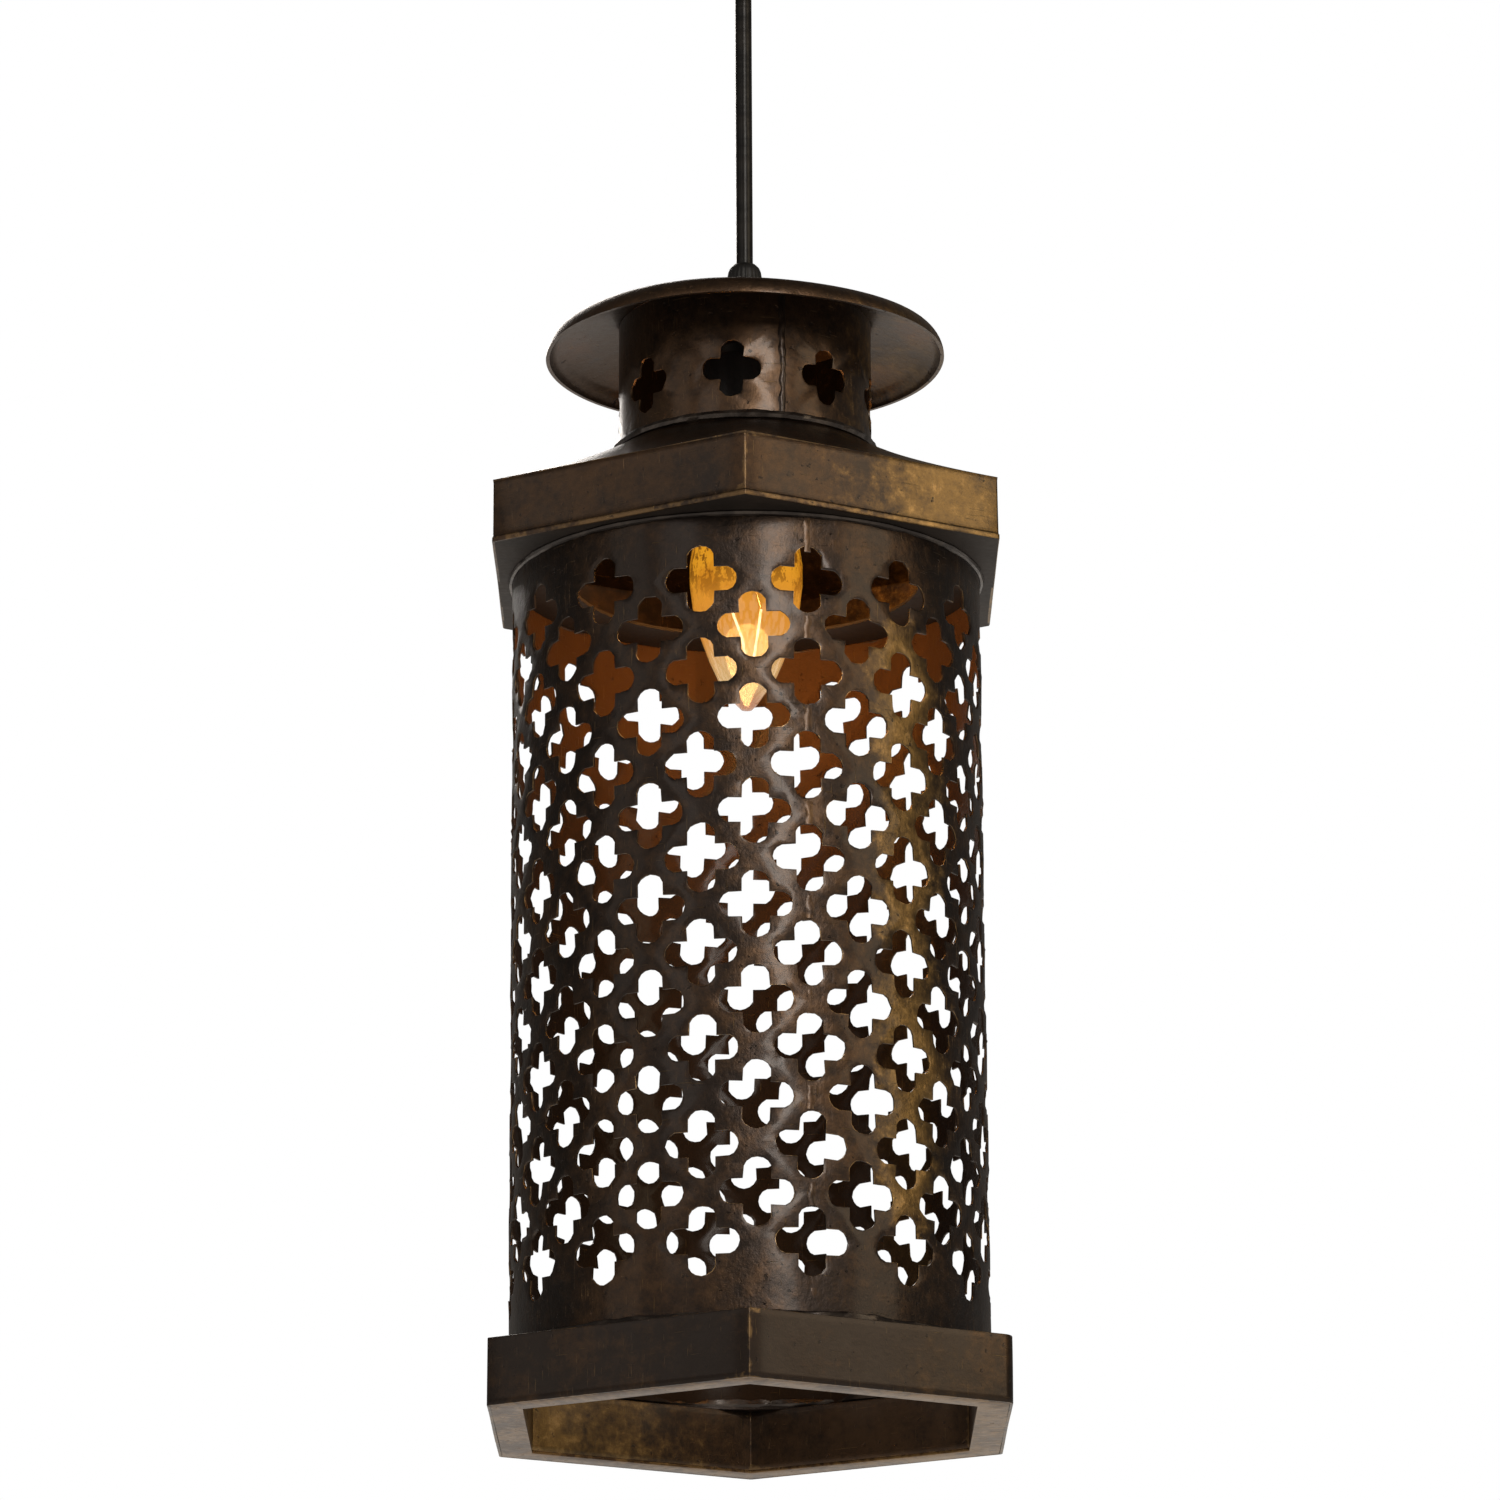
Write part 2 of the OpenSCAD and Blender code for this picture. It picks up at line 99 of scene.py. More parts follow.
class SheetSizes(bpy.types.PropertyGroup):
    """How the brass sheet is cut, punched and bent."""

    thickness: FloatProperty(
        name="Sheet", description="Thickness of the brass sheet", default=0.001, min=0.0005, unit="LENGTH")
    pierced: length("Pierced sheet", "Thickness of the pierced sheets", 0.00065)
    columns: IntProperty(
        name="Columns", description="Straight columns of holes round the shade", default=15, min=3)
    rows: IntProperty(name="Rows", description="Holes in a straight column", default=8, min=2)
    row_pitch: length("Row pitch", "Height from one hole to the next in a column", 0.0299)
    top_margin: length("Top margin", "Height from the shade's top edge to its first holes", 0.0221)
    column_turn: FloatProperty(
        name="Column turn", description="Turn of the first column of holes from the front",
        default=math.radians(-10.2), subtype="ANGLE")
    stretch: FloatProperty(
        name="Stretch", description="How much wider apart the columns are at the front than on average",
        default=0.069, min=0)
    lobe: length("Lobe radius", "Radius of each lobe of a hole", 0.00428)
    reach: length("Lobe reach", "Distance of a lobe's centre from its hole's centre", 0.0065)
    dish: length("Dish", "How far the punch has bent a hole's edge inward", 0.00012)
    burr: length("Burr", "Roughness of a hole's edge", 0.00016)
    dent: length("Dents", "Depth of the hammered unevenness of the sheet", 0.0004)
    vents: IntProperty(name="Vents", description="Vent holes round the neck", default=8, min=3)
    vent_turn: FloatProperty(
        name="Vent turn", description="Turn of the first vent from the front",
        default=math.radians(-6), subtype="ANGLE")
    vent_lobe: length("Vent lobe radius", "Radius of each lobe of a vent", 0.00395)
    vent_reach: length("Vent lobe reach", "Distance of a vent lobe's centre from its vent's centre", 0.0054)


class FinishColours(bpy.types.PropertyGroup):
    """Colours of the lantern's finishes."""

    dark_patina: colour("Dark patina", "Blackened brass in its darkest parts", (0.020, 0.0150, 0.0125))
    brown_patina: colour("Brown patina", "Brown brass between the dark parts", (0.058, 0.034, 0.019))
    # Also carries the painted warm sheen on one side of each piece.
    olive_patina: colour(
        "Olive patina", "Thin patina where the brass begins to show",
        (0.140, 0.088, 0.031))
    inside: colour("Inside", "Brass inside the shade", (0.042, 0.021, 0.009))
    bare_brass: colour("Rubbed brass", "Brass and copper where edges are rubbed bare", (0.43, 0.27, 0.11))
    solder: colour("Solder", "Darkened soft solder", (0.060, 0.048, 0.039))
    # Also paints the lit sheet behind the bulb's upper glass into its glow.
    glass: colour("Glass", "Lit amber glass of the bulb", (0.95, 0.40, 0.022))
    glow: colour("Glow", "Light of the filament", (1.0, 0.62, 0.25))
    cord: colour("Cord", "Sheath of the cord", (0.004, 0.004, 0.004))


class StageSetting(bpy.types.PropertyGroup):
    """Floor and lights."""

    floor: colour("Floor", "Colour of the studio floor", (0.88, 0.83, 0.77))
    surround: FloatProperty(
        name="Surround", description="Light from the studio's surround on the lantern", default=0.13, min=0)
    floor_glow: FloatProperty(
        name="Floor glow", description="Light of the lit floor", default=0.85, min=0)
    key_power: FloatProperty(
        name="Key light", description="Power of the soft light above the front", default=27.0,
        min=0, unit="POWER")
    lamp_power: FloatProperty(
        name="Lamp", description="Power of the bulb's own light", default=0.65, min=0, unit="POWER")


# Shader building

class Wire:
    """A value on its way from one shader node to the next; arithmetic on it adds Math nodes."""

    def __init__(self, finish, socket):
        self.finish = finish
        self.socket = socket

    def math(self, operation, first, second):
        return self.finish.node("ShaderNodeMath", {"operation": operation}, {0: first, 1: second})

    def __add__(self, other):
        return self.math("ADD", self, other)

    def __radd__(self, other):
        return self.math("ADD", other, self)

    def __sub__(self, other):
        return self.math("SUBTRACT", self, other)

    def __rsub__(self, other):
        return self.math("SUBTRACT", other, self)

    def __mul__(self, other):
        return self.math("MULTIPLY", self, other)

    def __rmul__(self, other):
        return self.math("MULTIPLY", other, self)


class Nodes:
    """A tree of shader nodes."""

    def __init__(self, tree):
        self.tree = tree

    def node(self, kind, settings=None, inputs=None, output=0):
        """Adds a node, sets it up, and gives one of its outputs."""
        made = self.tree.nodes.new(kind)
        for key, value in (settings or {}).items():
            if key == "stops":
                self.set_stops(made.color_ramp, value)
            else:
                setattr(made, key, value)
        self.join(made, inputs or {})
        return Wire(self, made.outputs[output])

    def join(self, made, inputs):
        for key, value in inputs.items():
            if isinstance(value, Wire):
                self.tree.links.new(value.socket, made.inputs[key])
            else:
                made.inputs[key].default_value = value

    def set_stops(self, ramp, stops):
        while len(ramp.elements) < len(stops):
            ramp.elements.new(0.5)
        for element, (position, colour) in zip(ramp.elements, stops):
            element.position = position
            element.color = colour


class Finish(Nodes):
    """A material and the nodes that make it."""

    def __init__(self, name):
        self.material = bpy.data.materials.new(name)
        self.material.use_nodes = True
        super().__init__(self.material.node_tree)
        self.surface = self.tree.nodes["Principled BSDF"]
        self.place = self.node("ShaderNodeTexCoord", output="Object")

    def noise(self, scale, detail=4.0, roughness=0.55, stretch=(1, 1, 1), at=(0, 0, 0)):
        """Mottling from 0 to 1; scale is in features per metre."""
        place = self.node("ShaderNodeMapping", None, {
            "Vector": self.place, "Scale": stretch, "Location": at})
        return self.node("ShaderNodeTexNoise", None, {
            "Vector": place, "Scale": scale, "Detail": detail, "Roughness": roughness})

    def step(self, value, low, high):
        """0 below low, 1 above high, and smooth between them."""
        return self.node("ShaderNodeMapRange", {"interpolation_type": "SMOOTHSTEP"}, {
            "Value": value, "From Min": low, "From Max": high})

    def axis(self, name):
        return self.node("ShaderNodeSeparateXYZ", None, {0: self.place}, output=name)

    def attribute(self, name):
        return self.node("ShaderNodeAttribute", {"attribute_name": name}, output="Fac")

    def mix(self, first, second, share):
        """A colour between two others."""
        return self.node("ShaderNodeMix", {"data_type": "RGBA"}, {
            0: share, 6: opaque(first), 7: opaque(second)}, output=2)

    def relief(self, height, depth):
        """A bump of that depth in metres."""
        return self.node("ShaderNodeBump", None, {"Height": height, "Strength": 1.0, "Distance": depth},
                         output="Normal")

    def surface_is(self, **inputs):
        self.join(self.surface, {key.replace("_", " "): value for key, value in inputs.items()})
        return self.material


def opaque(colour):
    return colour if isinstance(colour, Wire) else (*colour, 1.0)


def colours():
    return bpy.context.scene.lantern_finish


def patina(name, warm=1.0, brown=0.5, rub=1.0, relief=1.0, brushed=(1, 1, 0.25), sheen_and_rub_span=(-0.01, 0.07, 0.2),
           inside_shade_colour=None, bands=False, coat=0.22):
    """Blackened brass: dark and brown clouds, olive and brassy where it is thin, rubbed bare at its edges;
    a painted warm sheen mixed with rubbed brass over a span across X, and painted shade lower down inside.
    """
    tones = colours()
    finish = Finish(name)
    clouds = finish.noise(14, 5, 0.6)
    drift = finish.noise(52, 6, 0.65, at=(3, 1, 2))
    mottle = finish.noise(230, 6, 0.7, at=(1, 4, 2))
    grain = finish.noise(1100, 3, 0.6, brushed)
    specks = finish.noise(420, 2, 0.5)
    base = finish.mix(tones.dark_patina, tones.brown_patina,
                      finish.step(clouds * 0.4 + drift * 0.3 + mottle * 0.45 + brown * 0.22, 0.55, 0.82))
    inner = finish.attribute("inner")
    # Painted shade: the inside of the sheet darkens lower down, away from the bulb, unless a colour for the
    # inside is given.
    shaded_inside = tuple(channel * 0.4 for channel in tones.inside)
    level = finish.axis("Z")
    inside_shaded_lower = finish.mix(shaded_inside, tones.inside, finish.step(level, SHADE_TOP - 0.13, SHADE_TOP - 0.025))
    base = finish.mix(base, inside_shade_colour or inside_shaded_lower, inner * 0.9)
    # Painted sheen: a warm band across X, on the side where the warm light falls, partly painted sheen and
    # partly rubbed brass.
    from_left, to_right, past = sheen_and_rub_span
    side = finish.axis("X")
    across = finish.step(side, from_left, to_right)
    across = across - finish.step(side, to_right + past * 0.04, to_right + past)
    # On the shade, the painted sheen is kept off its plain top and foot bands.
    if bands:
        across = across * finish.step(level, RING_TOP + 0.012, RING_TOP + 0.042)
        across = across - finish.step(level, SHADE_TOP - 0.042, SHADE_TOP - 0.016)
    # Olive tones: thin patina at random, plus the painted sheen band.
    thin_patina_and_sheen = finish.step(drift * 0.35 + clouds * 0.25 + mottle * 0.4 + across * 0.32, 0.64, 0.88) * warm
    thin_patina_and_sheen = thin_patina_and_sheen * (1 - inner * 0.8)
    base = finish.mix(base, tones.olive_patina, thin_patina_and_sheen)
    glints = finish.step(mottle * 0.7 + drift * 0.3, 0.50, 0.70)
    base = finish.mix(base, tones.bare_brass, thin_patina_and_sheen * glints * 0.45)
    scratches = finish.step(finish.noise(330, 2, 0.5, (6, 6, 0.35), (1, 5, 2)), 0.68, 0.74) * 0.3
    scribes = finish.step(finish.noise(300, 2, 0.5, (0.3, 0.3, 7), (2, 5, 1)), 0.70, 0.76) * 0.3
    base = finish.mix(base, tones.olive_patina, scratches + scribes)
    worn = finish.attribute("worn")
    edge = finish.step(worn + (drift - 0.5) * 0.5 + (specks - 0.5) * 0.35, 0.94, 1.06) * rub
    base = finish.mix(base, tones.bare_brass, edge * 0.6)
    pits = finish.step(specks, 0.69, 0.76)
    base = finish.mix(base, tones.dark_patina, pits * 0.6)
    rough = 0.26 + grain * 0.12 + mottle * 0.16 + inner * 0.22 - edge * 0.05 + pits * 0.15
    height = drift * 0.8 + mottle * 0.22 + grain * 0.07 - scratches * 0.4 - scribes * 0.4 - pits * 0.3
    return finish.surface_is(
        Base_Color=base, Metallic=0.96, Roughness=rough, Coat_Weight=coat - drift * coat * 0.9,
        Coat_Roughness=0.16, Normal=finish.relief(height, 0.0005 * relief))


def soldered(name="darkened_solder"):
    """Soft solder run by hand and darkened with the sheet."""
    tones = colours()
    finish = Finish(name)
    clouds = finish.noise(120, 5, 0.6)
    grain = finish.noise(700, 3, 0.6)
    base = finish.mix(tones.dark_patina, tones.solder, finish.step(clouds, 0.42, 0.72))
    rough = 0.30 + grain * 0.22
    return finish.surface_is(
        Base_Color=base, Metallic=0.9, Roughness=rough, Coat_Weight=0.3, Coat_Roughness=0.2,
        Normal=finish.relief(clouds + grain * 0.3, 0.0005))


def plain(name, colour, metallic=0.0, rough=0.4, mottle=0.25, scale=160, depth=0.0001, **more):
    """A simple finish, a little uneven in its colour and gloss."""
    finish = Finish(name)
    cloud = finish.noise(scale, 4, 0.55)
    grain = finish.noise(scale * 8, 2, 0.5)
    darker = tuple(channel * (1 - mottle) for channel in colour)
    base = finish.mix(darker, colour, finish.step(cloud, 0.35, 0.65))
    return finish.surface_is(
        Base_Color=base, Metallic=metallic, Roughness=rough - 0.08 + grain * 0.16,
        Normal=finish.relief(cloud + grain * 0.4, depth), **more)


def lit_glass():
    """Amber glass of the lit bulb: yellow above the filament, paler at its tip, with brown specks; the
    yellow, its specks and blotches paint the lit, speckled sheet behind the glass into its glow.
    """
    tones = colours()
    finish = Finish("lit_amber_glass")
    height = finish.axis("Z")
    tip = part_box("bulb_glass")[0].z
    # Brown specks and blotches: the lit, speckled sheet behind the glass, painted into the glow.
    specks = finish.step(finish.noise(300, 4, 0.75, (1, 1, 0.6)), 0.49, 0.55)
    blotch = finish.step(finish.noise(110, 4, 0.65), 0.42, 0.68)
    upper = finish.step(height, tip + 0.026, tip + 0.050)
    glow = finish.mix((0.55, 0.25, 0.14), (0.78, 0.50, 0.21), finish.step(height, tip + 0.001, tip + 0.009))
    glow = finish.mix(glow, (0.85, 0.34, 0.045), finish.step(height, tip + 0.009, tip + 0.028))
    glow = finish.mix(glow, tones.glass, upper)
    glow = finish.mix(glow, (0.52, 0.15, 0.006), blotch * upper * 0.7)
    glow = finish.mix(glow, (0.16, 0.05, 0.006), specks * upper * 0.9)
    return finish.surface_is(
        Base_Color=(0.006, 0.003, 0.001, 1.0), Roughness=0.08, Emission_Color=glow, Emission_Strength=0.82,
        Alpha=0.74 + upper * 0.2 - blotch * 0.08, Coat_Weight=1.0, Coat_Roughness=0.03)


def glowing():
    tones = colours()
    finish = Finish("glowing_filament")
    pulse = finish.step(finish.noise(900, 2), 0.3, 0.7)
    hot = finish.mix(tones.glow, (1.0, 0.86, 0.6), pulse)
    return finish.surface_is(Base_Color=(0.2, 0.1, 0.05, 1.0), Emission_Color=hot, Emission_Strength=14.0)


# Mesh building

def piece(name, bm, material, replaces=(), body="lantern", sharp=38):
    """Turns a finished bmesh into a piece that rides on a body of the frame."""
    mesh = bpy.data.meshes.new(name)
    bm.to_mesh(mesh)
    bm.free()
    mesh.polygons.foreach_set("use_smooth", [True] * len(mesh.polygons))
    mesh.set_sharp_from_angle(angle=math.radians(sharp))
    mesh.materials.append(material)
    made = bpy.data.objects.new(name, mesh)
    bpy.context.scene.collection.objects.link(made)
    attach(made, body)
    if replaces:
        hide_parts(*replaces)
    return made


def settle(bm):
    """Merges doubles and turns every face outward."""
    bmesh.ops.remove_doubles(bm, verts=bm.verts, dist=0.00001)
    bmesh.ops.recalc_face_normals(bm, faces=bm.faces)
    return bm


def thicken(bm, thickness):
    """Gives a sheet its thickness, behind its faces."""
    bmesh.ops.solidify(bm, geom=bm.faces[:], thickness=thickness)
    bmesh.ops.recalc_face_normals(bm, faces=bm.faces)


def face_along(bm, way):
    """Makes an open sheet's faces agree, and turns them to the side where way(face) is positive."""
    bmesh.ops.recalc_face_normals(bm, faces=bm.faces)
    if sum(way(f) for f in bm.faces) < 0:
        bmesh.ops.reverse_faces(bm, faces=bm.faces)


def add_lump(bm, lump):
    """Moves all of one bmesh into another."""
    mesh = bpy.data.meshes.new("lump")
    lump.to_mesh(mesh)
    lump.free()
    bm.from_mesh(mesh)


def smooth_line(name, route, radius, rounding):
    """A round rod or cord along a smooth curve through the points of a route."""
    line = bpy.data.curves.new(name, "CURVE")
    line.dimensions = "3D"
    line.bevel_depth = radius
    line.bevel_resolution = rounding
    line.use_fill_caps = True
    spline = line.splines.new("BEZIER")
    spline.bezier_points.add(len(route) - 1)
    for point, place in zip(spline.bezier_points, route):
        point.co = place
        point.handle_left_type = point.handle_right_type = "AUTO"
    made = bpy.data.objects.new(name, line)
    bpy.context.scene.collection.objects.link(made)
    return made


def wobble(point, size, scale, turn=0):
    """Unevenness of hand work at a point, between -size and size."""
    return size * noise.noise(Vector(point) * scale + Vector((turn * 7.3, turn * 3.1, turn * 5.7)))


def arc(centre_r, centre_z, radius, start, end, steps):
    """Points of a round stretch of an outline; 0 degrees points outward and 90 up."""
    angles = [math.radians(start + (end - start) * i / steps) for i in range(steps + 1)]
    return [(centre_r + radius * math.cos(a), centre_z + radius * math.sin(a)) for a in angles]


def lathe(outline, steps=96):
    """Spins a closed outline of (radius, height) points round the upright axis."""
    bm = bmesh.new()
    points = [bm.verts.new((max(r, 0), 0, z)) for r, z in outline]
    rim = [bm.edges.new((a, b)) for a, b in zip(points, points[1:] + points[:1])]
    bmesh.ops.spin(bm, geom=points + rim, cent=(0, 0, 0), axis=(0, 0, 1),
                   angle=math.tau, steps=steps, use_merge=True)
    return settle(bm)


def bead(radius, height, thick, lumps, low=FOOT_Z, steps=220, scale=130, turn=0):
    """A hand-run ring of solder round the axis: a spun circle made lumpy."""
    bm = lathe(arc(radius, height, thick, 0, 315, 7), steps)
    for v in bm.verts:
        flat = Vector((v.co.x, v.co.y))
        outward = flat.normalized()
        swell = 1 + wobble(v.co, lumps, scale, turn) + wobble(v.co, lumps * 0.6, scale * 3, turn + 1)
        offset = flat.length - radius
        v.co.x, v.co.y = (outward * (radius + offset * max(swell, 0.15))).to_tuple()
        v.co.z = max(low, height + (v.co.z - height) * max(swell, 0.15))
    return bm


def hex_ring(bm, corner, z):
    """A hexagon with a corner at the front; gives its edges."""
    made = bmesh.ops.create_circle(bm, cap_ends=False, radius=corner, segments=6)["verts"]
    bmesh.ops.translate(bm, verts=made, vec=(0, 0, z))
    return sorted({e for v in made for e in v.link_edges}, key=lambda e: e.index)


def pull_out(bm, edges):
    """Extrudes edges where they are; gives the new edges and vertices."""
    made = bmesh.ops.extrude_edge_only(bm, edges=edges)["geom"]
    verts = {g for g in made if isinstance(g, bmesh.types.BMVert)}
    rim = [g for g in made if isinstance(g, bmesh.types.BMEdge) and verts.issuperset(g.verts)]
    return rim, sorted(verts, key=lambda v: v.index)


def raise_edges(bm, edges, corner_from, corner_to, rise):
    """Extrudes a hexagon's edges to another width and height; gives the new edges."""
    rim, verts = pull_out(bm, edges)
    share = corner_to / corner_from
    for v in verts:
        v.co.x *= share
        v.co.y *= share
        v.co.z += rise
    return rim


def sheet_metal(bm, thickness, edge=0.00022, bends=None, dent=0.0003, scale=22, turn=0):
    """Gives bent sheet its waves, its rounded bends, its thickness and its softened edges."""
    bends = bends or {}
    for corner, radius in bends.items():
        angle = math.radians(corner)
        along = Vector((math.sin(angle), -math.cos(angle)))
        upright = [e for e in bm.edges if all(
            Vector((v.co.x, v.co.y)).normalized().dot(along) > 0.9999 for v in e.verts)
            and abs(e.verts[0].co.z - e.verts[1].co.z) > 0.0001]
        bmesh.ops.bevel(bm, geom=upright, offset=radius, offset_type="OFFSET", affect="EDGES",
                        segments=4, profile=0.5, material=-1)
    long_edges = [e for e in bm.edges if e.calc_length() > 0.012]
    bmesh.ops.subdivide_edges(bm, edges=long_edges, cuts=9, use_grid_fill=True)
    bmesh.ops.recalc_face_normals(bm, faces=bm.faces)
    for v in bm.verts:
        v.co += v.normal * wobble(v.co, dent, scale, turn)
    thicken(bm, thickness)
    worn = bm.verts.layers.float.new("worn")
    crisp = [e for e in bm.edges if len(e.link_faces) == 2 and e.calc_face_angle(0) > math.radians(35)]
    for e in crisp:
        for v in e.verts:
            v[worn] = 1.0
    bmesh.ops.bevel(bm, geom=crisp, offset=edge, offset_type="OFFSET", affect="EDGES",
                    segments=2, profile=0.5, material=-1)
    return bm


# The pierced tubes: the shade and the neck

HOLE_STEPS = 32
QUARTER = HOLE_STEPS // 4
CUSP = QUARTER // 2
RIM = (0, 0.0007)


def lobe_point(step, reach, lobe):
    """A point of the quatrefoil's outline; step 0 is the right lobe's tip, step 1 above it."""
    quarter, along = divmod(step % HOLE_STEPS, QUARTER)
    folded = min(along, QUARTER - along)
    if folded == CUSP:
        x = y = lobe * 0.94
    else:
        swing = math.radians(23 * folded)
        x, y = reach + lobe * math.cos(swing), lobe * math.sin(swing)
    if along > CUSP:
        x, y = y, x
    return Matrix.Rotation(quarter * math.pi / 2, 2) @ Vector((x, y))


def diamond_point(step, half_w, half_h):
    """A point of the diamond that a hole of the shade has to itself."""
    quarter, along = divmod(step % HOLE_STEPS, QUARTER)
    share = along / QUARTER
    corners = [Vector((half_w, 0)), Vector((0, half_h)), Vector((-half_w, 0)), Vector((0, -half_h))]
    return corners[quarter].lerp(corners[(quarter + 1) % 4], share)


def panel_point(step, half_w, half_h):
    """A point of the rectangle that a vent of the neck has to itself."""
    quarter, along = divmod(step % HOLE_STEPS, QUARTER)
    share = (along - CUSP) / CUSP
    x = half_w * min(1, 1 - share)
    y = half_h * min(1, 1 + share)
    flip_x = -1 if quarter in (1, 2) else 1
    flip_y = -1 if quarter in (2, 3) else 1
    if quarter in (1, 3):
        share = -share
        x = half_w * min(1, 1 - share)
        y = half_h * min(1, 1 + share)
    return Vector((x * flip_x, y * flip_y))


def hole_cell(reach, lobe, border):
    """One hole and the sheet round it, laid flat, as rings of faces from its edge to its border."""
    bm = bmesh.new()
    step_of = bm.verts.layers.int.new("step")
    ring_of = bm.verts.layers.int.new("ring")
    gap_of = bm.verts.layers.float.new("gap")
    free_of = bm.verts.layers.float.new("free")
    start = bmesh.ops.create_circle(bm, cap_ends=False, radius=1, segments=HOLE_STEPS)["verts"]
    for v in start:
        v[step_of] = round(math.atan2(v.co.y, v.co.x) / math.tau * HOLE_STEPS) % HOLE_STEPS
    edges = bm.edges[:]
    for ring in range(len(RIM) + 1):
        if ring:
            edges, verts = pull_out(bm, edges)
        else:
            verts = start
        for v in verts:
            v[ring_of] = ring
            inner, outer = lobe_point(v[step_of], reach, lobe), border(v[step_of])
            gap = (outer - inner).length
            share = min(RIM[ring] / gap, 0.5 * ring) if ring < len(RIM) else 1.0
            v.co = inner.lerp(outer, share).to_3d()
            v[gap_of] = gap * share
            v[free_of] = 1 - share
    cell = bpy.data.meshes.new("hole_cell")
    bm.to_mesh(cell)
    bm.free()
    return cell


def pierced_tube(radius, foot, top, holes, cell, sizes, roughness=1.0, pressed=1.0, stretch=0.0, seed=4):
    """A tube of sheet with a hole at each (turn, height), joined into one mesh and dished at its holes."""
    bm = bmesh.new()
    chance = random.Random(seed)
    for turn, height in holes:
        before = len(bm.verts)
        bm.from_mesh(cell)
        bm.verts.ensure_lookup_table()
        ring_of = bm.verts.layers.int["ring"]
        gap_of, free_of = bm.verts.layers.float["gap"], bm.verts.layers.float["free"]
        tilt = Matrix.Rotation(math.radians(chance.gauss(0, 1.6)) * roughness, 2)
        shift = Vector((chance.gauss(0, 0.00016), chance.gauss(0, 0.00016))) * roughness
        grow = 1 + chance.gauss(0, 0.012) * roughness
        for v in bm.verts[before:]:
            flat = v.co.to_2d()
            flat = flat.lerp(tilt @ flat * grow + shift, v[free_of])
            angle = hand_laid(turn + flat.x / radius, stretch)
            lean = stretch * 9 * MM * math.cos(angle)
            v.co = (radius * math.sin(angle), -radius * math.cos(angle), height + lean + flat.y)
    bmesh.ops.remove_doubles(bm, verts=bm.verts, dist=0.00012)
    last = len(RIM)
    middle = (min(h for _, h in holes) + max(h for _, h in holes)) / 2
    for goal, rising in ((top, True), (foot, False)):
        edges = [e for e in bm.edges if e.is_boundary and all(
            v[ring_of] == last and (v.co.z > middle) == rising for v in e.verts)]
        for share in (0.4, 0.75, 1.0):
            edges, verts = pull_out(bm, edges)
            for v in verts:
                rise = (goal - v.co.z) * share
                v.co.z += rise
                v[gap_of] += abs(rise)
    shape_tube(bm, sizes, chance, roughness, pressed)
    return bm


def hand_laid(turn, stretch):
    """Where a column laid out by hand falls: wider apart at the front, and a little at the back."""
    return turn + stretch * (0.37 * math.sin(turn) + 0.31 * math.sin(2 * turn))


def shape_tube(bm, sizes, chance, roughness, pressed):
    """Dishes the sheet at its holes, dents it, and gives it its thickness."""
    gap_of = bm.verts.layers.float["gap"]
    worn = bm.verts.layers.float.new("worn")
    bmesh.ops.recalc_face_normals(bm, faces=bm.faces)
    for v in bm.verts:
        gap = v[gap_of]
        outward = Vector((v.co.x, v.co.y, 0)).normalized()
        move = -sizes.dish * max(0, 1 - gap / RIM[-1]) ** 2 * pressed * (1 + wobble(v.co, 0.6, 60, 5))
        move += wobble(v.co, sizes.dent, 40) + wobble(v.co, sizes.dent * 0.3, 130, 2)
        v[worn] = math.exp(-gap / (0.6 * MM))
        if gap == 0:
            across = Vector((-outward.y, outward.x, 0))
            move += chance.gauss(0, sizes.burr) * roughness
            v.co += across * chance.gauss(0, sizes.burr * 0.5) * roughness
            v.co.z += chance.gauss(0, sizes.burr * 0.5) * roughness
        v.co += outward * move
    thicken(bm, sizes.pierced)
    inner = bm.verts.layers.float.new("inner")
    for v in bm.verts:
        outward = Vector((v.co.x, v.co.y, 0)).normalized()
        v[inner] = 1.0 if v.normal.dot(outward) < 0 else 0.0
        v[worn] *= 1 - 0.6 * v[inner]


def ragged_strip(bm, radius, turn, low, high, wide, lift):
    """An upright strip of sheet or solder, proud of a tube and ragged at its sides."""
    strip = bmesh.new()
    tall = high - low
    bmesh.ops.create_grid(strip, x_segments=6, y_segments=max(8, round(tall / (0.6 * MM))), size=0.5)
    for v in strip.verts:
        height = low + tall * (v.co.y + 0.5)
        ragged = wobble((0, 0, height), 0.0004, 260) + wobble((1, 0, height), 0.0003, 90)
        across = v.co.x * wide * (1 + wobble((4, 0, height), 0.4, 300)) + ragged
        out = radius + lift * (1 - 3.4 * v.co.x ** 2) + wobble((across, 3, height), 0.00016, 420)
        here = turn + across / radius
        v.co = (out * math.sin(here), -out * math.cos(here), height)
    face_along(strip, lambda face: face.normal.dot(face.calc_center_median()))
    thicken(strip, 0.7 * MM)
    add_lump(bm, strip)


# Operators, one for each piece or group of like pieces

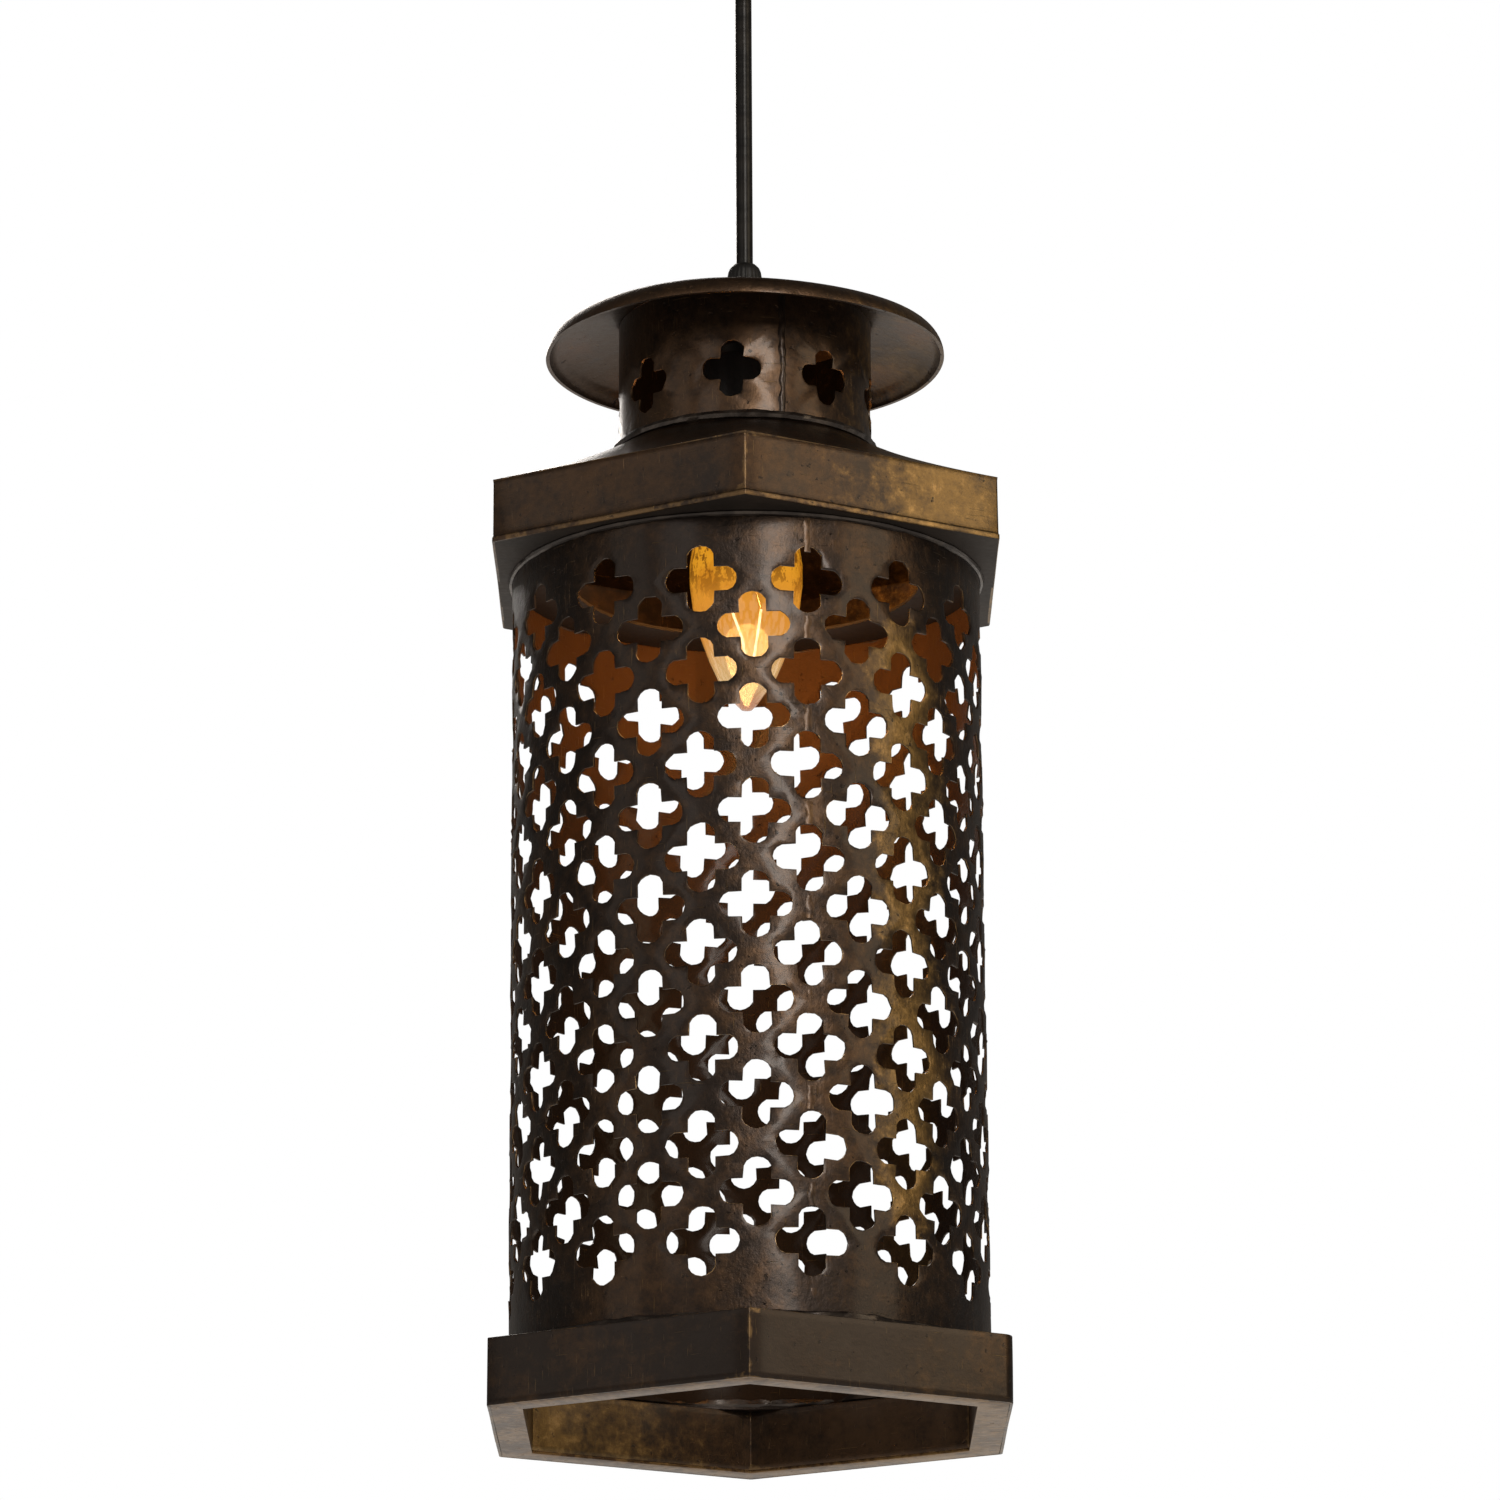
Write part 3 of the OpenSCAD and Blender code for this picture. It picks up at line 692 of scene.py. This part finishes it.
class LANTERN_OT_stage(bpy.types.Operator):
    """Floor, surround, lights and camera"""

    bl_idname = "lantern.stage"
    bl_label = "Stage"

    def execute(self, context):
        setting = context.scene.lantern_stage
        self.camera(context)
        self.floor(setting)
        world = bpy.data.worlds.new("white_surround")
        world.use_nodes = True
        nodes = Nodes(world.node_tree)
        seen = nodes.node("ShaderNodeLightPath", output="Is Camera Ray")
        brightness = seen * (1 - setting.surround) + setting.surround
        background = world.node_tree.nodes["Background"]
        tone = nodes.node("ShaderNodeMix", {"data_type": "RGBA"}, {
            0: seen, 6: (1.0, 0.90, 0.80, 1.0), 7: (1.0, 1.0, 1.0, 1.0)}, output=2)
        nodes.join(background, {"Color": tone, "Strength": brightness})
        context.scene.world = world
        context.scene.view_settings.view_transform = "Standard"
        target = Vector((0, 0, (FOOT_Z + NECK_TOP) / 2))
        for name, place, size, share, tint in (
                ("key", (0.50, -1.85, 0.35), (0.40, 0.9), 1.0, (1.0, 0.93, 0.85)),
                ("right", (1.75, -0.95, 0.25), (0.9, 1.0), 0.45, (1.0, 0.82, 0.58)),
                ("left", (-1.75, -1.0, 0.2), (0.7, 0.9), 0.10, (1.0, 0.90, 0.80)),
                ("front", (-1.0, -1.6, 0.3), (0.5, 0.8), 0.12, (1.0, 0.90, 0.82)),
                ("back", (-0.6, 1.9, 0.9), (0.9, 0.9), 0.7, (1.0, 0.95, 0.9))):
            self.soft_light(name, place, target, size, setting.key_power * share, tint)
        return {"FINISHED"}

    def camera(self, context):
        """A long lens, a little below the lantern's foot and looking up at it."""
        lens = bpy.data.cameras.new("camera")
        lens.lens = 149.33
        lens.sensor_width = 36.0
        lens.clip_start = 0.05
        camera = bpy.data.objects.new("camera", lens)
        context.scene.collection.objects.link(camera)
        camera.location = (0.00373, -1.91609, FOOT_Z - 0.33502)
        pitch, roll, yaw = 0.28204, -0.00517, -0.00144
        ahead = Vector((math.sin(yaw) * math.cos(pitch), math.cos(yaw) * math.cos(pitch), math.sin(pitch)))
        side = Vector((math.cos(yaw), -math.sin(yaw), 0))
        up = side.cross(ahead)
        right = side * math.cos(roll) + up * math.sin(roll)
        up = up * math.cos(roll) - side * math.sin(roll)
        camera.rotation_euler = Matrix((right, up, -ahead)).transposed().to_euler()
        context.scene.camera = camera

    def floor(self, setting):
        bm = bmesh.new()
        bmesh.ops.create_circle(bm, cap_ends=True, cap_tris=True, radius=60.0, segments=64)
        bmesh.ops.translate(bm, verts=bm.verts, vec=(0, 0, -2.5))
        mesh = bpy.data.meshes.new("floor")
        bm.to_mesh(mesh)
        bm.free()
        finish = Finish("studio_floor")
        cloud = finish.noise(0.8, 2)
        tint = tuple(channel * 0.97 for channel in setting.floor)
        tone = finish.mix(tint, setting.floor, cloud)
        mesh.materials.append(finish.surface_is(
            Base_Color=tone, Roughness=0.7, Emission_Color=tone, Emission_Strength=setting.floor_glow))
        floor = bpy.data.objects.new("floor", mesh)
        bpy.context.scene.collection.objects.link(floor)

    def soft_light(self, name, place, target, size, power, colour):
        lamp = bpy.data.lights.new(name, "AREA")
        lamp.shape = "RECTANGLE"
        lamp.size, lamp.size_y = size
        lamp.energy = power
        lamp.color = colour
        light = bpy.data.objects.new(name, lamp)
        bpy.context.scene.collection.objects.link(light)
        light.location = place
        light.rotation_euler = (target - Vector(place)).to_track_quat("-Z", "Y").to_euler()


class LANTERN_OT_cord(bpy.types.Operator):
    """The black cord, held taut between its two grips"""

    bl_idname = "lantern.cord"
    bl_label = "Cord"

    def execute(self, context):
        cord = smooth_line("cord_sheath", CORD_ROUTE, 0.00275, 8)
        finish = Finish("black_cord_sheath")
        ripple = finish.noise(60, 3, 0.5, (1, 1, 2.2))
        grain = finish.noise(900, 2)
        tone = finish.mix(colours().cord, (0.009, 0.008, 0.007), finish.step(ripple, 0.4, 0.7))
        cord.data.materials.append(finish.surface_is(
            Base_Color=tone, Roughness=0.28 + grain * 0.08, Normal=finish.relief(ripple, 0.0004),
            Specular_IOR_Level=0.14))
        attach(cord, "cord")
        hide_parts("cord")
        return {"FINISHED"}


class LANTERN_OT_cord_grips(bpy.types.Operator):
    """The two ribbed cord grips"""

    bl_idname = "lantern.cord_grips"
    bl_label = "Cord grips"

    def execute(self, context):
        black = plain("ribbed_black_plastic", (0.006, 0.006, 0.006), rough=0.4, depth=0.00005,
                      Specular_IOR_Level=0.35)
        for name, node, body, foot, way in (
                ("lower_cord_grip", "lantern_cord_grip", "grip", GRIP_FOOT, 1),
                ("upper_cord_grip", "canopy_cord_grip", "ceiling_rose", UPPER_GRIP_FOOT, -1)):
            piece(name, self.grip(foot, way), black, (node,), body, sharp=50)
        return {"FINISHED"}

    def grip(self, foot, way):
        """A ribbed cone with a round shoulder, a close mouth and a wide bore at its foot."""
        outside = [(7.2, 0.0), (7.3, 0.4), (7.3, 2.6), (6.9, 3.2), (6.5, 6.0), (6.0, 8.5), (5.65, 11.0)]
        shoulder = [(5.4, 12.6), (4.9, 13.8), (4.2, 14.6), (3.8, 15.0)]
        bore = [(3.3, 14.6), (3.1, 13.4), (3.1, 8.6), (5.06, 8.5), (5.06, 0.0)]
        bm = lathe([(r * MM, z * MM) for r, z in outside + shoulder + bore], 96)
        for v in bm.verts:
            flat = Vector((v.co.x, v.co.y))
            if flat.length > 5.2 * MM and 3.0 * MM < v.co.z < 12.7 * MM:
                turn = math.atan2(v.co.y, v.co.x)
                rib = 0.3 * MM * (0.5 + 0.5 * math.cos(24 * turn))
                v.co.x, v.co.y = (flat.normalized() * (flat.length - rib)).to_tuple()
        for v in bm.verts:
            v.co.z = foot + way * v.co.z
        bmesh.ops.recalc_face_normals(bm, faces=bm.faces)
        return bm


class LANTERN_OT_ceiling_rose(bpy.types.Operator):
    """The ceiling canopy and its two domed nuts"""

    bl_idname = "lantern.ceiling_rose"
    bl_label = "Ceiling rose"

    def execute(self, context):
        metal = patina("patina_of_canopy", warm=0.5, brown=0.6)
        edge, wall = 8 * MM, 1 * MM
        round_out = arc(CANOPY_R - edge, CANOPY_FOOT + edge, edge, -90, 0, 8)
        round_in = arc(CANOPY_R - edge, CANOPY_FOOT + edge, edge - wall, 0, -90, 8)
        bore = 5 * MM
        outline = [(bore, CANOPY_FOOT)] + round_out + [(CANOPY_R, 0), (CANOPY_R - wall, 0)]
        outline += round_in + [(bore, CANOPY_FOOT + wall)]
        bm = lathe(outline, 128)
        for v in bm.verts:
            if v.co.z < -0.001 and math.hypot(v.co.x, v.co.y) > 0.02:
                v.co.z += wobble(v.co, 0.00008, 40)
        piece("canopy_shell", bm, metal, ("canopy",), "ceiling_rose")
        nuts = bmesh.new()
        low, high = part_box("cap_nuts")
        radius, reach = (high.y - low.y) / 2, (low.x + high.x) / 2
        stud = high.x - radius
        for side in (-1, 1):
            single = lathe(
                [(2.0 * MM, CANOPY_FOOT - 4 * MM), (2.0 * MM, CANOPY_FOOT), (radius, CANOPY_FOOT),
                 (radius, CANOPY_FOOT - 1.2 * MM), (radius - 0.25 * MM, CANOPY_FOOT - 1.5 * MM)]
                + arc(0, CANOPY_FOOT - 3.5 * MM, radius, 0, -90, 8) + [(0, CANOPY_FOOT - 4 * MM)], 48)
            bmesh.ops.translate(single, verts=single.verts, vec=(reach + side * stud, 0, 0))
            add_lump(nuts, single)
        piece("domed_nuts", nuts, metal, ("cap_nuts",), "ceiling_rose")
        return {"FINISHED"}


class LANTERN_OT_dome(bpy.types.Operator):
    """The spun dome with its turned-down edge, and its washer"""

    bl_idname = "lantern.dome"
    bl_label = "Dome"

    def execute(self, context):
        metal = patina("patina_of_dome", warm=0.35, brown=0.8, rub=0.5, relief=1.6)
        edge_r, slope, wall = 7 * MM, math.radians(19), 1.2 * MM
        crown = (DOME_R - edge_r * (1 - math.sin(slope))) / math.sin(slope)
        drop = crown * (1 - math.cos(slope))
        centre = DOME_TOP - crown
        turn_r, turn_z = DOME_R - edge_r, DOME_TOP - drop - edge_r * math.cos(slope)
        bore = 5 * MM
        outline = [(bore, centre + math.sqrt(crown ** 2 - bore ** 2))]
        outline += arc(0, centre, crown, 86, 71, 14) + arc(turn_r, turn_z, edge_r, 71, 0, 12)[1:]
        outline += arc(turn_r, turn_z, edge_r - wall, 0, 71, 12)
        outline += arc(0, centre, crown - wall, 71, 86, 14)[1:]
        outline += [(bore, centre + math.sqrt((crown - wall) ** 2 - bore ** 2))]
        bm = lathe(outline, 160)
        worn = bm.verts.layers.float.new("worn")
        for v in bm.verts:
            outer = math.hypot(v.co.x, v.co.y) / DOME_R
            v[worn] = max(0.0, 1 - abs(v.co.z - turn_z) / (0.9 * MM)) * 0.8 if outer > 0.9 else 0.0
            v.co.z += wobble(v.co, 0.0009, 22) * min(1, outer * 1.5 - 0.2 if outer > 0.15 else 0)
        piece("dome_shell", bm, metal, ("dome",))
        low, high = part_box("dome_washer")
        soft = 0.25 * MM
        ring = [(bore, low.z), (high.x - soft, low.z), (high.x, low.z + soft), (high.x, high.z - soft),
                (high.x - soft, high.z), (bore, high.z)]
        piece("grip_washer", lathe(ring, 64), metal, ("dome_washer",))
        return {"FINISHED"}


class LANTERN_OT_neck(bpy.types.Operator):
    """The vented neck, its lapped joint and the solder at its foot"""

    bl_idname = "lantern.neck"
    bl_label = "Neck"

    def execute(self, context):
        sizes = context.scene.lantern_sheet
        half_w, half_h = math.pi * NECK_R / sizes.vents, 13.5 * MM
        cell = hole_cell(sizes.vent_reach, sizes.vent_lobe, lambda step: panel_point(step, half_w, half_h))
        height = NECK_FOOT + 16.2 * MM
        holes = [(sizes.vent_turn + math.tau * k / sizes.vents, height) for k in range(sizes.vents)]
        bm = pierced_tube(NECK_R, NECK_FOOT - 1.5 * MM, NECK_TOP, holes, cell, sizes,
                          roughness=1.3, pressed=0.6, seed=9)
        lap = math.radians(17)
        for v in bm.verts:
            turn = math.atan2(v.co.x, -v.co.y) - lap
            if 0 <= turn < 0.7:
                lift = 0.0006 * (1 - turn / 0.7)
                v.co += Vector((v.co.x, v.co.y, 0)).normalized() * lift
        # Near-black inside the neck: painted shade that keeps its vents dark.
        metal = patina("patina_of_neck", warm=1.0, brown=0.7, rub=0.35, inside_shade_colour=(0.004, 0.003, 0.002))
        piece("vented_neck", bm, metal, ("neck",))
        joint = bmesh.new()
        ragged_strip(joint, NECK_R, lap, NECK_FOOT + 1.5 * MM, NECK_TOP - 1.5 * MM, 2.2 * MM, 0.55 * MM)
        piece("neck_joint", joint, patina("patina_of_neck_joint", warm=0.6, brown=0.2, rub=0.5), sharp=60)
        foot = bead(NECK_R + 1.1 * MM, NECK_FOOT + 0.4 * MM, 1.6 * MM, 0.25, turn=3)
        piece("neck_foot_solder", foot, soldered(), ("neck_solder",))
        return {"FINISHED"}


class LANTERN_OT_cap(bpy.types.Operator):
    """The cap: its six walls, its floor and its roof"""

    bl_idname = "lantern.cap"
    bl_label = "Cap"

    def execute(self, context):
        sizes = context.scene.lantern_sheet
        metal = patina("patina_of_cap", warm=0.85, brown=0.45, rub=0.3, brushed=(0.3, 0.3, 1))
        piece("hexagonal_cap_walls", self.walls(sizes), metal, ("cap_walls",))
        # Painted shade: the cap's floor plate is near black and dull, so it stays dark under the lamp.
        shaded_sheet = plain("painted_shade_sheet", (0.020, 0.014, 0.010), 0.6, 0.6, 0.4, 60)
        plate = round_opened_plate(CAP_OPENING_R, HEX_CORNER, SHADE_TOP, sizes.thickness, 4)
        piece("cap_floor_plate", plate, shaded_sheet, ("cap_floor",))
        piece("roof_sheet", self.roof(sizes), metal, ("roof",))
        return {"FINISHED"}

    def walls(self, sizes):
        """Walls with a hem folded out along their foot."""
        bm = bmesh.new()
        hem, groove = 0.35 * MM, 1.7 * MM
        edges = hex_ring(bm, HEX_CORNER + hem, SHADE_TOP)
        edges = raise_edges(bm, edges, HEX_CORNER + hem, HEX_CORNER + hem, groove)
        edges = raise_edges(bm, edges, HEX_CORNER + hem, HEX_CORNER, 0.25 * MM)
        raise_edges(bm, edges, HEX_CORNER, HEX_CORNER, WALL_TOP - SHADE_TOP - groove - 0.25 * MM)
        bends = {60: 0.6 * MM, 120: 0.8 * MM, 180: 0.8 * MM, 240: 0.8 * MM, 300: 0.6 * MM}
        return sheet_metal(bm, sizes.thickness, bends=bends, dent=0.00035, turn=1)

    def roof(self, sizes):
        """Roof that runs from the walls' hexagon to the neck's circle and sweeps up at the neck."""
        bm = bmesh.new()
        sides = 6 * 16
        made = bmesh.ops.create_circle(bm, cap_ends=False, radius=1, segments=sides)["verts"]
        edges = bm.edges[:]
        rise = NECK_FOOT - WALL_TOP
        steps = 12
        for k in range(steps + 1):
            share = k / steps
            if k:
                edges, made = pull_out(bm, edges)
            for v in made:
                turn = math.atan2(v.co.x, v.co.y)
                wide = HEX_CORNER * hexagon_share(turn)
                radius = wide + (NECK_R + 0.2 * MM - wide) * share
                height = WALL_TOP + rise * (0.82 * share + 0.18 * share ** 4)
                v.co = (radius * math.sin(turn), radius * math.cos(turn), height)
        face_along(bm, lambda face: face.normal.z)
        for v in bm.verts:
            v.co += v.normal * wobble(v.co, 0.0004, 25, 6)
        thicken(bm, sizes.thickness)
        worn = bm.verts.layers.float.new("worn")
        for v in bm.verts:
            v[worn] = 1.0 if v.co.z < WALL_TOP + 0.2 * MM else 0.0
        return bm


def hexagon_share(turn):
    """How far out a hexagon's side lies in a direction, as a share of its corners' radius."""
    within = (turn + math.pi / 6) % (math.pi / 3) - math.pi / 6
    return math.cos(math.pi / 6) / math.cos(math.pi / 6 - abs(within))


def round_opened_plate(opening, corner, foot, thickness, turn):
    """A hexagonal plate with a round opening."""
    bm = bmesh.new()
    for radius in (opening, corner):
        ring = bmesh.ops.create_circle(bm, cap_ends=False, radius=radius, segments=54)["verts"]
        if radius == corner:
            for v in ring:
                v.co *= hexagon_share(math.atan2(v.co.x, v.co.y))
    bmesh.ops.bridge_loops(bm, edges=bm.edges[:])
    bmesh.ops.subdivide_edges(bm, edges=[e for e in bm.edges if e.calc_length() > 0.012], cuts=3)
    bmesh.ops.translate(bm, verts=bm.verts, vec=(0, 0, foot + thickness))
    face_along(bm, lambda face: face.normal.z)
    for v in bm.verts:
        v.co.z += wobble(v.co, 0.0002, 30, turn)
    thicken(bm, thickness)
    return bm


class LANTERN_OT_shade(bpy.types.Operator):
    """The pierced shade"""

    bl_idname = "lantern.shade"
    bl_label = "Shade"

    def execute(self, context):
        sizes = context.scene.lantern_sheet
        radius = SHADE_R
        turn = math.tau / sizes.columns
        cell = hole_cell(sizes.reach, sizes.lobe,
                         lambda step: diamond_point(step, radius * turn / 2, sizes.row_pitch / 2))
        first = SHADE_TOP - sizes.top_margin
        holes = [(sizes.column_turn + turn * k / 2, first - (row + k % 2 / 2) * sizes.row_pitch)
                 for k in range(2 * sizes.columns) for row in range(sizes.rows - k % 2)]
        bm = pierced_tube(radius, RING_TOP, SHADE_TOP, holes, cell, sizes, stretch=sizes.stretch)
        # Painted sheen and rubbed brass over the shade's right side.
        metal = patina("patina_of_shade", warm=0.9, brown=0.25, rub=1.0, relief=1.8,
                       sheen_and_rub_span=(0.026, 0.05, 0.022), bands=True)
        piece("pierced_shade", bm, metal, ("shade",))
        return {"FINISHED"}


class LANTERN_OT_shade_solder(bpy.types.Operator):
    """Solder at the shade's top, foot and joint"""

    bl_idname = "lantern.shade_solder"
    bl_label = "Shade solder"

    def execute(self, context):
        solder = soldered("solder_of_shade")
        top = bead(SHADE_R + 0.4 * MM, SHADE_TOP - 0.4 * MM, 1.0 * MM, 0.35, turn=5)
        piece("shade_top_bead", top, solder, ("shade_top_solder",))
        foot = bead(SHADE_R + 0.7 * MM, RING_TOP + 0.5 * MM, 1.7 * MM, 0.6, low=RING_TOP - 0.5 * MM,
                    turn=8, scale=90)
        piece("shade_foot_bead", foot, solder, ("shade_foot_solder",))
        tinned = patina("patina_of_shade_joint", warm=0.5, brown=0.5, rub=0.3)
        joint = self.joint(context.scene.lantern_sheet)
        piece("shade_joint_solder", joint, tinned, ("shade_seam",))
        return {"FINISHED"}

    def joint(self, sizes):
        """Solder down the rolled sheet's joint, between the holes of one column."""
        bm = bmesh.new()
        turn = hand_laid(sizes.column_turn + math.tau / sizes.columns, sizes.stretch)
        radius = SHADE_R
        for row in range(sizes.rows - 1):
            middle = SHADE_TOP - sizes.top_margin - (row + 0.5) * sizes.row_pitch
            ragged_strip(bm, radius, turn, middle - 3.6 * MM, middle + 3.6 * MM, 2.4 * MM, 0.18 * MM)
        ragged_strip(bm, radius, turn, SHADE_TOP - 12.5 * MM, SHADE_TOP - 1 * MM, 2.0 * MM, 0.12 * MM)
        ragged_strip(bm, radius, turn, RING_TOP + 2 * MM, RING_TOP + 9.5 * MM, 2.4 * MM, 0.12 * MM)
        return bm


class LANTERN_OT_foot_ring(bpy.types.Operator):
    """The hexagonal foot ring"""

    bl_idname = "lantern.foot_ring"
    bl_label = "Foot ring"

    def execute(self, context):
        sizes = context.scene.lantern_sheet
        sheet = sizes.thickness
        outside = patina("patina_of_ring", warm=0.05, brown=0.02, rub=0.35, brushed=(0.3, 0.3, 1))
        under = patina("patina_under_ring", warm=0.3, brown=0.9, rub=0.35, brushed=(0.3, 0.3, 1), coat=0.0)
        # Painted sheen and rubbed brass on the left inner walls of the ring.
        inside = patina("patina_inside_ring", warm=0.8, brown=0.6, rub=0.3, brushed=(0.3, 0.3, 1),
                        sheen_and_rub_span=(-0.09, -0.07, 0.1))
        bends = {60: 2.6 * MM, 120: 0.8 * MM, 180: 0.8 * MM, 240: 0.8 * MM, 300: 0.5 * MM}
        bm = self.band(HEX_CORNER, FOOT_Z, RING_TOP)
        piece("ring_outer_wall", sheet_metal(bm, sheet, bends=bends, turn=2), outside, ("ring_outer_band",))
        bm = self.band(BAND_CORNER - sheet * SLANT, FOOT_Z + sheet, RING_TOP - sheet)
        bmesh.ops.reverse_faces(bm, faces=bm.faces)
        piece("ring_inner_wall", sheet_metal(bm, -sheet, dent=0.0002, turn=3), inside, ("ring_inner_band",))
        piece("ring_underside", self.plate(FOOT_Z, sheet), under, ("ring_bottom_plate",))
        inset = HEX_CORNER - sheet * SLANT
        top = round_opened_plate(RING_OPENING_R, inset, RING_TOP - sheet, sheet, 7)
        piece("ring_upper_plate", top, outside, ("ring_top_plate",))
        return {"FINISHED"}

    def band(self, corner, foot, top):
        bm = bmesh.new()
        edges = hex_ring(bm, corner, foot)
        raise_edges(bm, edges, corner, corner, top - foot)
        bmesh.ops.recalc_face_normals(bm, faces=bm.faces)
        return bm

    def plate(self, base, sheet):
        bm = bmesh.new()
        outer = HEX_CORNER - sheet * SLANT
        edges = hex_ring(bm, outer, base)
        raise_edges(bm, edges, outer, BAND_CORNER - sheet * SLANT, 0)
        face_along(bm, lambda face: -face.normal.z)
        return sheet_metal(bm, sheet, dent=0.00015, turn=5)


class LANTERN_OT_bulb(bpy.types.Operator):
    """The bulb's glass and glowing filament, and the light that it gives"""

    bl_idname = "lantern.bulb"
    bl_label = "Bulb"

    def execute(self, context):
        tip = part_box("bulb_glass")[0].z
        shape = [(0, 0), (1.8, 0.4), (3.6, 2.3), (5.6, 5.3), (9, 9.9), (12, 16.7), (15, 25.1), (17.2, 33.7),
                 (18.2, 41.7), (18.3, 48.7), (17, 57.7), (14, 66.7), (10.4, 74.7), (7.6, 80.2), (6.5, 83.5)]
        wall = 0.6
        outside = [(r * MM, tip + z * MM) for r, z in shape] + [(6.5 * MM, BULB_TOP)]
        inside = [(max(r - wall, 0) * MM, tip + (z + wall * max(0, 1 - r / 18)) * MM) for r, z in shape]
        outline = outside + [(5.9 * MM, BULB_TOP)] + inside[::-1]
        glass = piece("amber_bulb_glass", lathe(outline, 96), lit_glass(), ("bulb_glass",), "bulb",
                      sharp=60)
        glass.visible_shadow = False
        self.filament(tip)
        lamp = bpy.data.lights.new("lamp_light", "POINT")
        lamp.energy = context.scene.lantern_stage.lamp_power
        lamp.color = (1.0, 0.46, 0.13)
        lamp.shadow_soft_size = 0.012
        light = bpy.data.objects.new("lamp_light", lamp)
        context.scene.collection.objects.link(light)
        light.location = (0, 0, tip + 0.035)
        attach(light, "bulb")
        return {"FINISHED"}

    def filament(self, tip):
        route = [(-4.8, 0, 34.1), (-1.6, -1, 24.7), (1.4, -2, 16.5),
                 (2.2, -1.4, 17.6), (3, -0.6, 21.7), (4.8, 0, 34.1)]
        places = [(x * MM, y * MM, tip + z * MM) for x, y, z in route]
        filament = smooth_line("hairpin_filament", places, 0.0004, 3)
        filament.data.materials.append(glowing())
        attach(filament, "bulb")
        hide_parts("bulb_filament")


class LANTERN_OT_fittings(bpy.types.Operator):
    """Finishes of the frame's own pieces: strap, screws, nipples, holder, leads and caps"""

    bl_idname = "lantern.fittings"
    bl_label = "Fittings"

    def execute(self, context):
        zinc = plain("zinc_plated_steel", (0.55, 0.55, 0.52), 1.0, 0.34)
        brass = plain("turned_brass", (0.66, 0.48, 0.2), 1.0, 0.28)
        black = plain("holder_plastic", (0.014, 0.013, 0.013), 0.0, 0.42)
        finishes = {
            zinc: ("mounting_strap", "strap_studs", "canopy_locknut", "lantern_locknut", "under_washer"),
            brass: ("canopy_nipple", "lantern_nipple", "holder_thread", "holder_contact",
                    "holder_terminals", "bulb_cap"),
            black: ("holder_cap", "holder_shell"),
            plain("green_passivated_steel", (0.07, 0.25, 0.09), 0.6, 0.4): ("ground_screw",),
            plain("cord_end_sheath", colours().cord, 0.0, 0.35): ("canopy_cord_tail", "lantern_cord_tail"),
            plain("brown_core_insulation", (0.2, 0.09, 0.035), 0.0, 0.45): ("canopy_leads", "holder_leads"),
            plain("connector_plastic", (0.62, 0.28, 0.05), 0.0, 0.4): ("wire_connectors",),
            plain("glazed_porcelain", (0.75, 0.72, 0.65), 0.0, 0.2, 0.06): ("holder_core",),
            plain("black_vitreous_glass", (0.02, 0.016, 0.018), 0.0, 0.15): ("bulb_insulator",),
            plain("tinned_contact", (0.6, 0.6, 0.57), 1.0, 0.35): ("bulb_contact",),
            plain("drawn_wire", (0.42, 0.38, 0.33), 1.0, 0.3): ("bulb_supports",),
            plain("stem_glass", (0.85, 0.7, 0.5), 0.0, 0.08, Alpha=0.35): ("bulb_stem",),
            soldered("corner_solder_run"): ("corner_solder",),
        }
        for material, nodes in finishes.items():
            for node in nodes:
                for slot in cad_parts[node].material_slots:
                    slot.material = material
        return {"FINISHED"}


class LANTERN_PT_panel(bpy.types.Panel):
    """Buttons for every piece, and the sizes and colours behind them"""

    bl_label = "Hanging lantern"
    bl_idname = "LANTERN_PT_panel"
    bl_space_type = "VIEW_3D"
    bl_region_type = "UI"
    bl_category = "Lantern"

    def draw(self, context):
        for operator in PIECES:
            self.layout.operator(operator.bl_idname)
        scene = context.scene
        for group in (scene.lantern_sheet, scene.lantern_finish, scene.lantern_stage):
            box = self.layout.box()
            for name in group.bl_rna.properties.keys():
                if name not in ("rna_type", "name"):
                    box.prop(group, name)


GROUPS = (SheetSizes, FinishColours, StageSetting)
PIECES = (
    LANTERN_OT_stage, LANTERN_OT_cord, LANTERN_OT_cord_grips, LANTERN_OT_ceiling_rose, LANTERN_OT_dome,
    LANTERN_OT_neck, LANTERN_OT_cap, LANTERN_OT_shade, LANTERN_OT_shade_solder, LANTERN_OT_foot_ring,
    LANTERN_OT_bulb, LANTERN_OT_fittings,
)


def register():
    for cls in (*GROUPS, *PIECES, LANTERN_PT_panel):
        bpy.utils.register_class(cls)
    bpy.types.Scene.lantern_sheet = PointerProperty(type=SheetSizes)
    bpy.types.Scene.lantern_finish = PointerProperty(type=FinishColours)
    bpy.types.Scene.lantern_stage = PointerProperty(type=StageSetting)


def unregister():
    del bpy.types.Scene.lantern_stage
    del bpy.types.Scene.lantern_finish
    del bpy.types.Scene.lantern_sheet
    for cls in reversed((*GROUPS, *PIECES, LANTERN_PT_panel)):
        bpy.utils.unregister_class(cls)


def main():
    register()
    for operator in PIECES:
        group, name = operator.bl_idname.split(".")
        getattr(getattr(bpy.ops, group), name)()


if __name__ == "__main__":
    main()
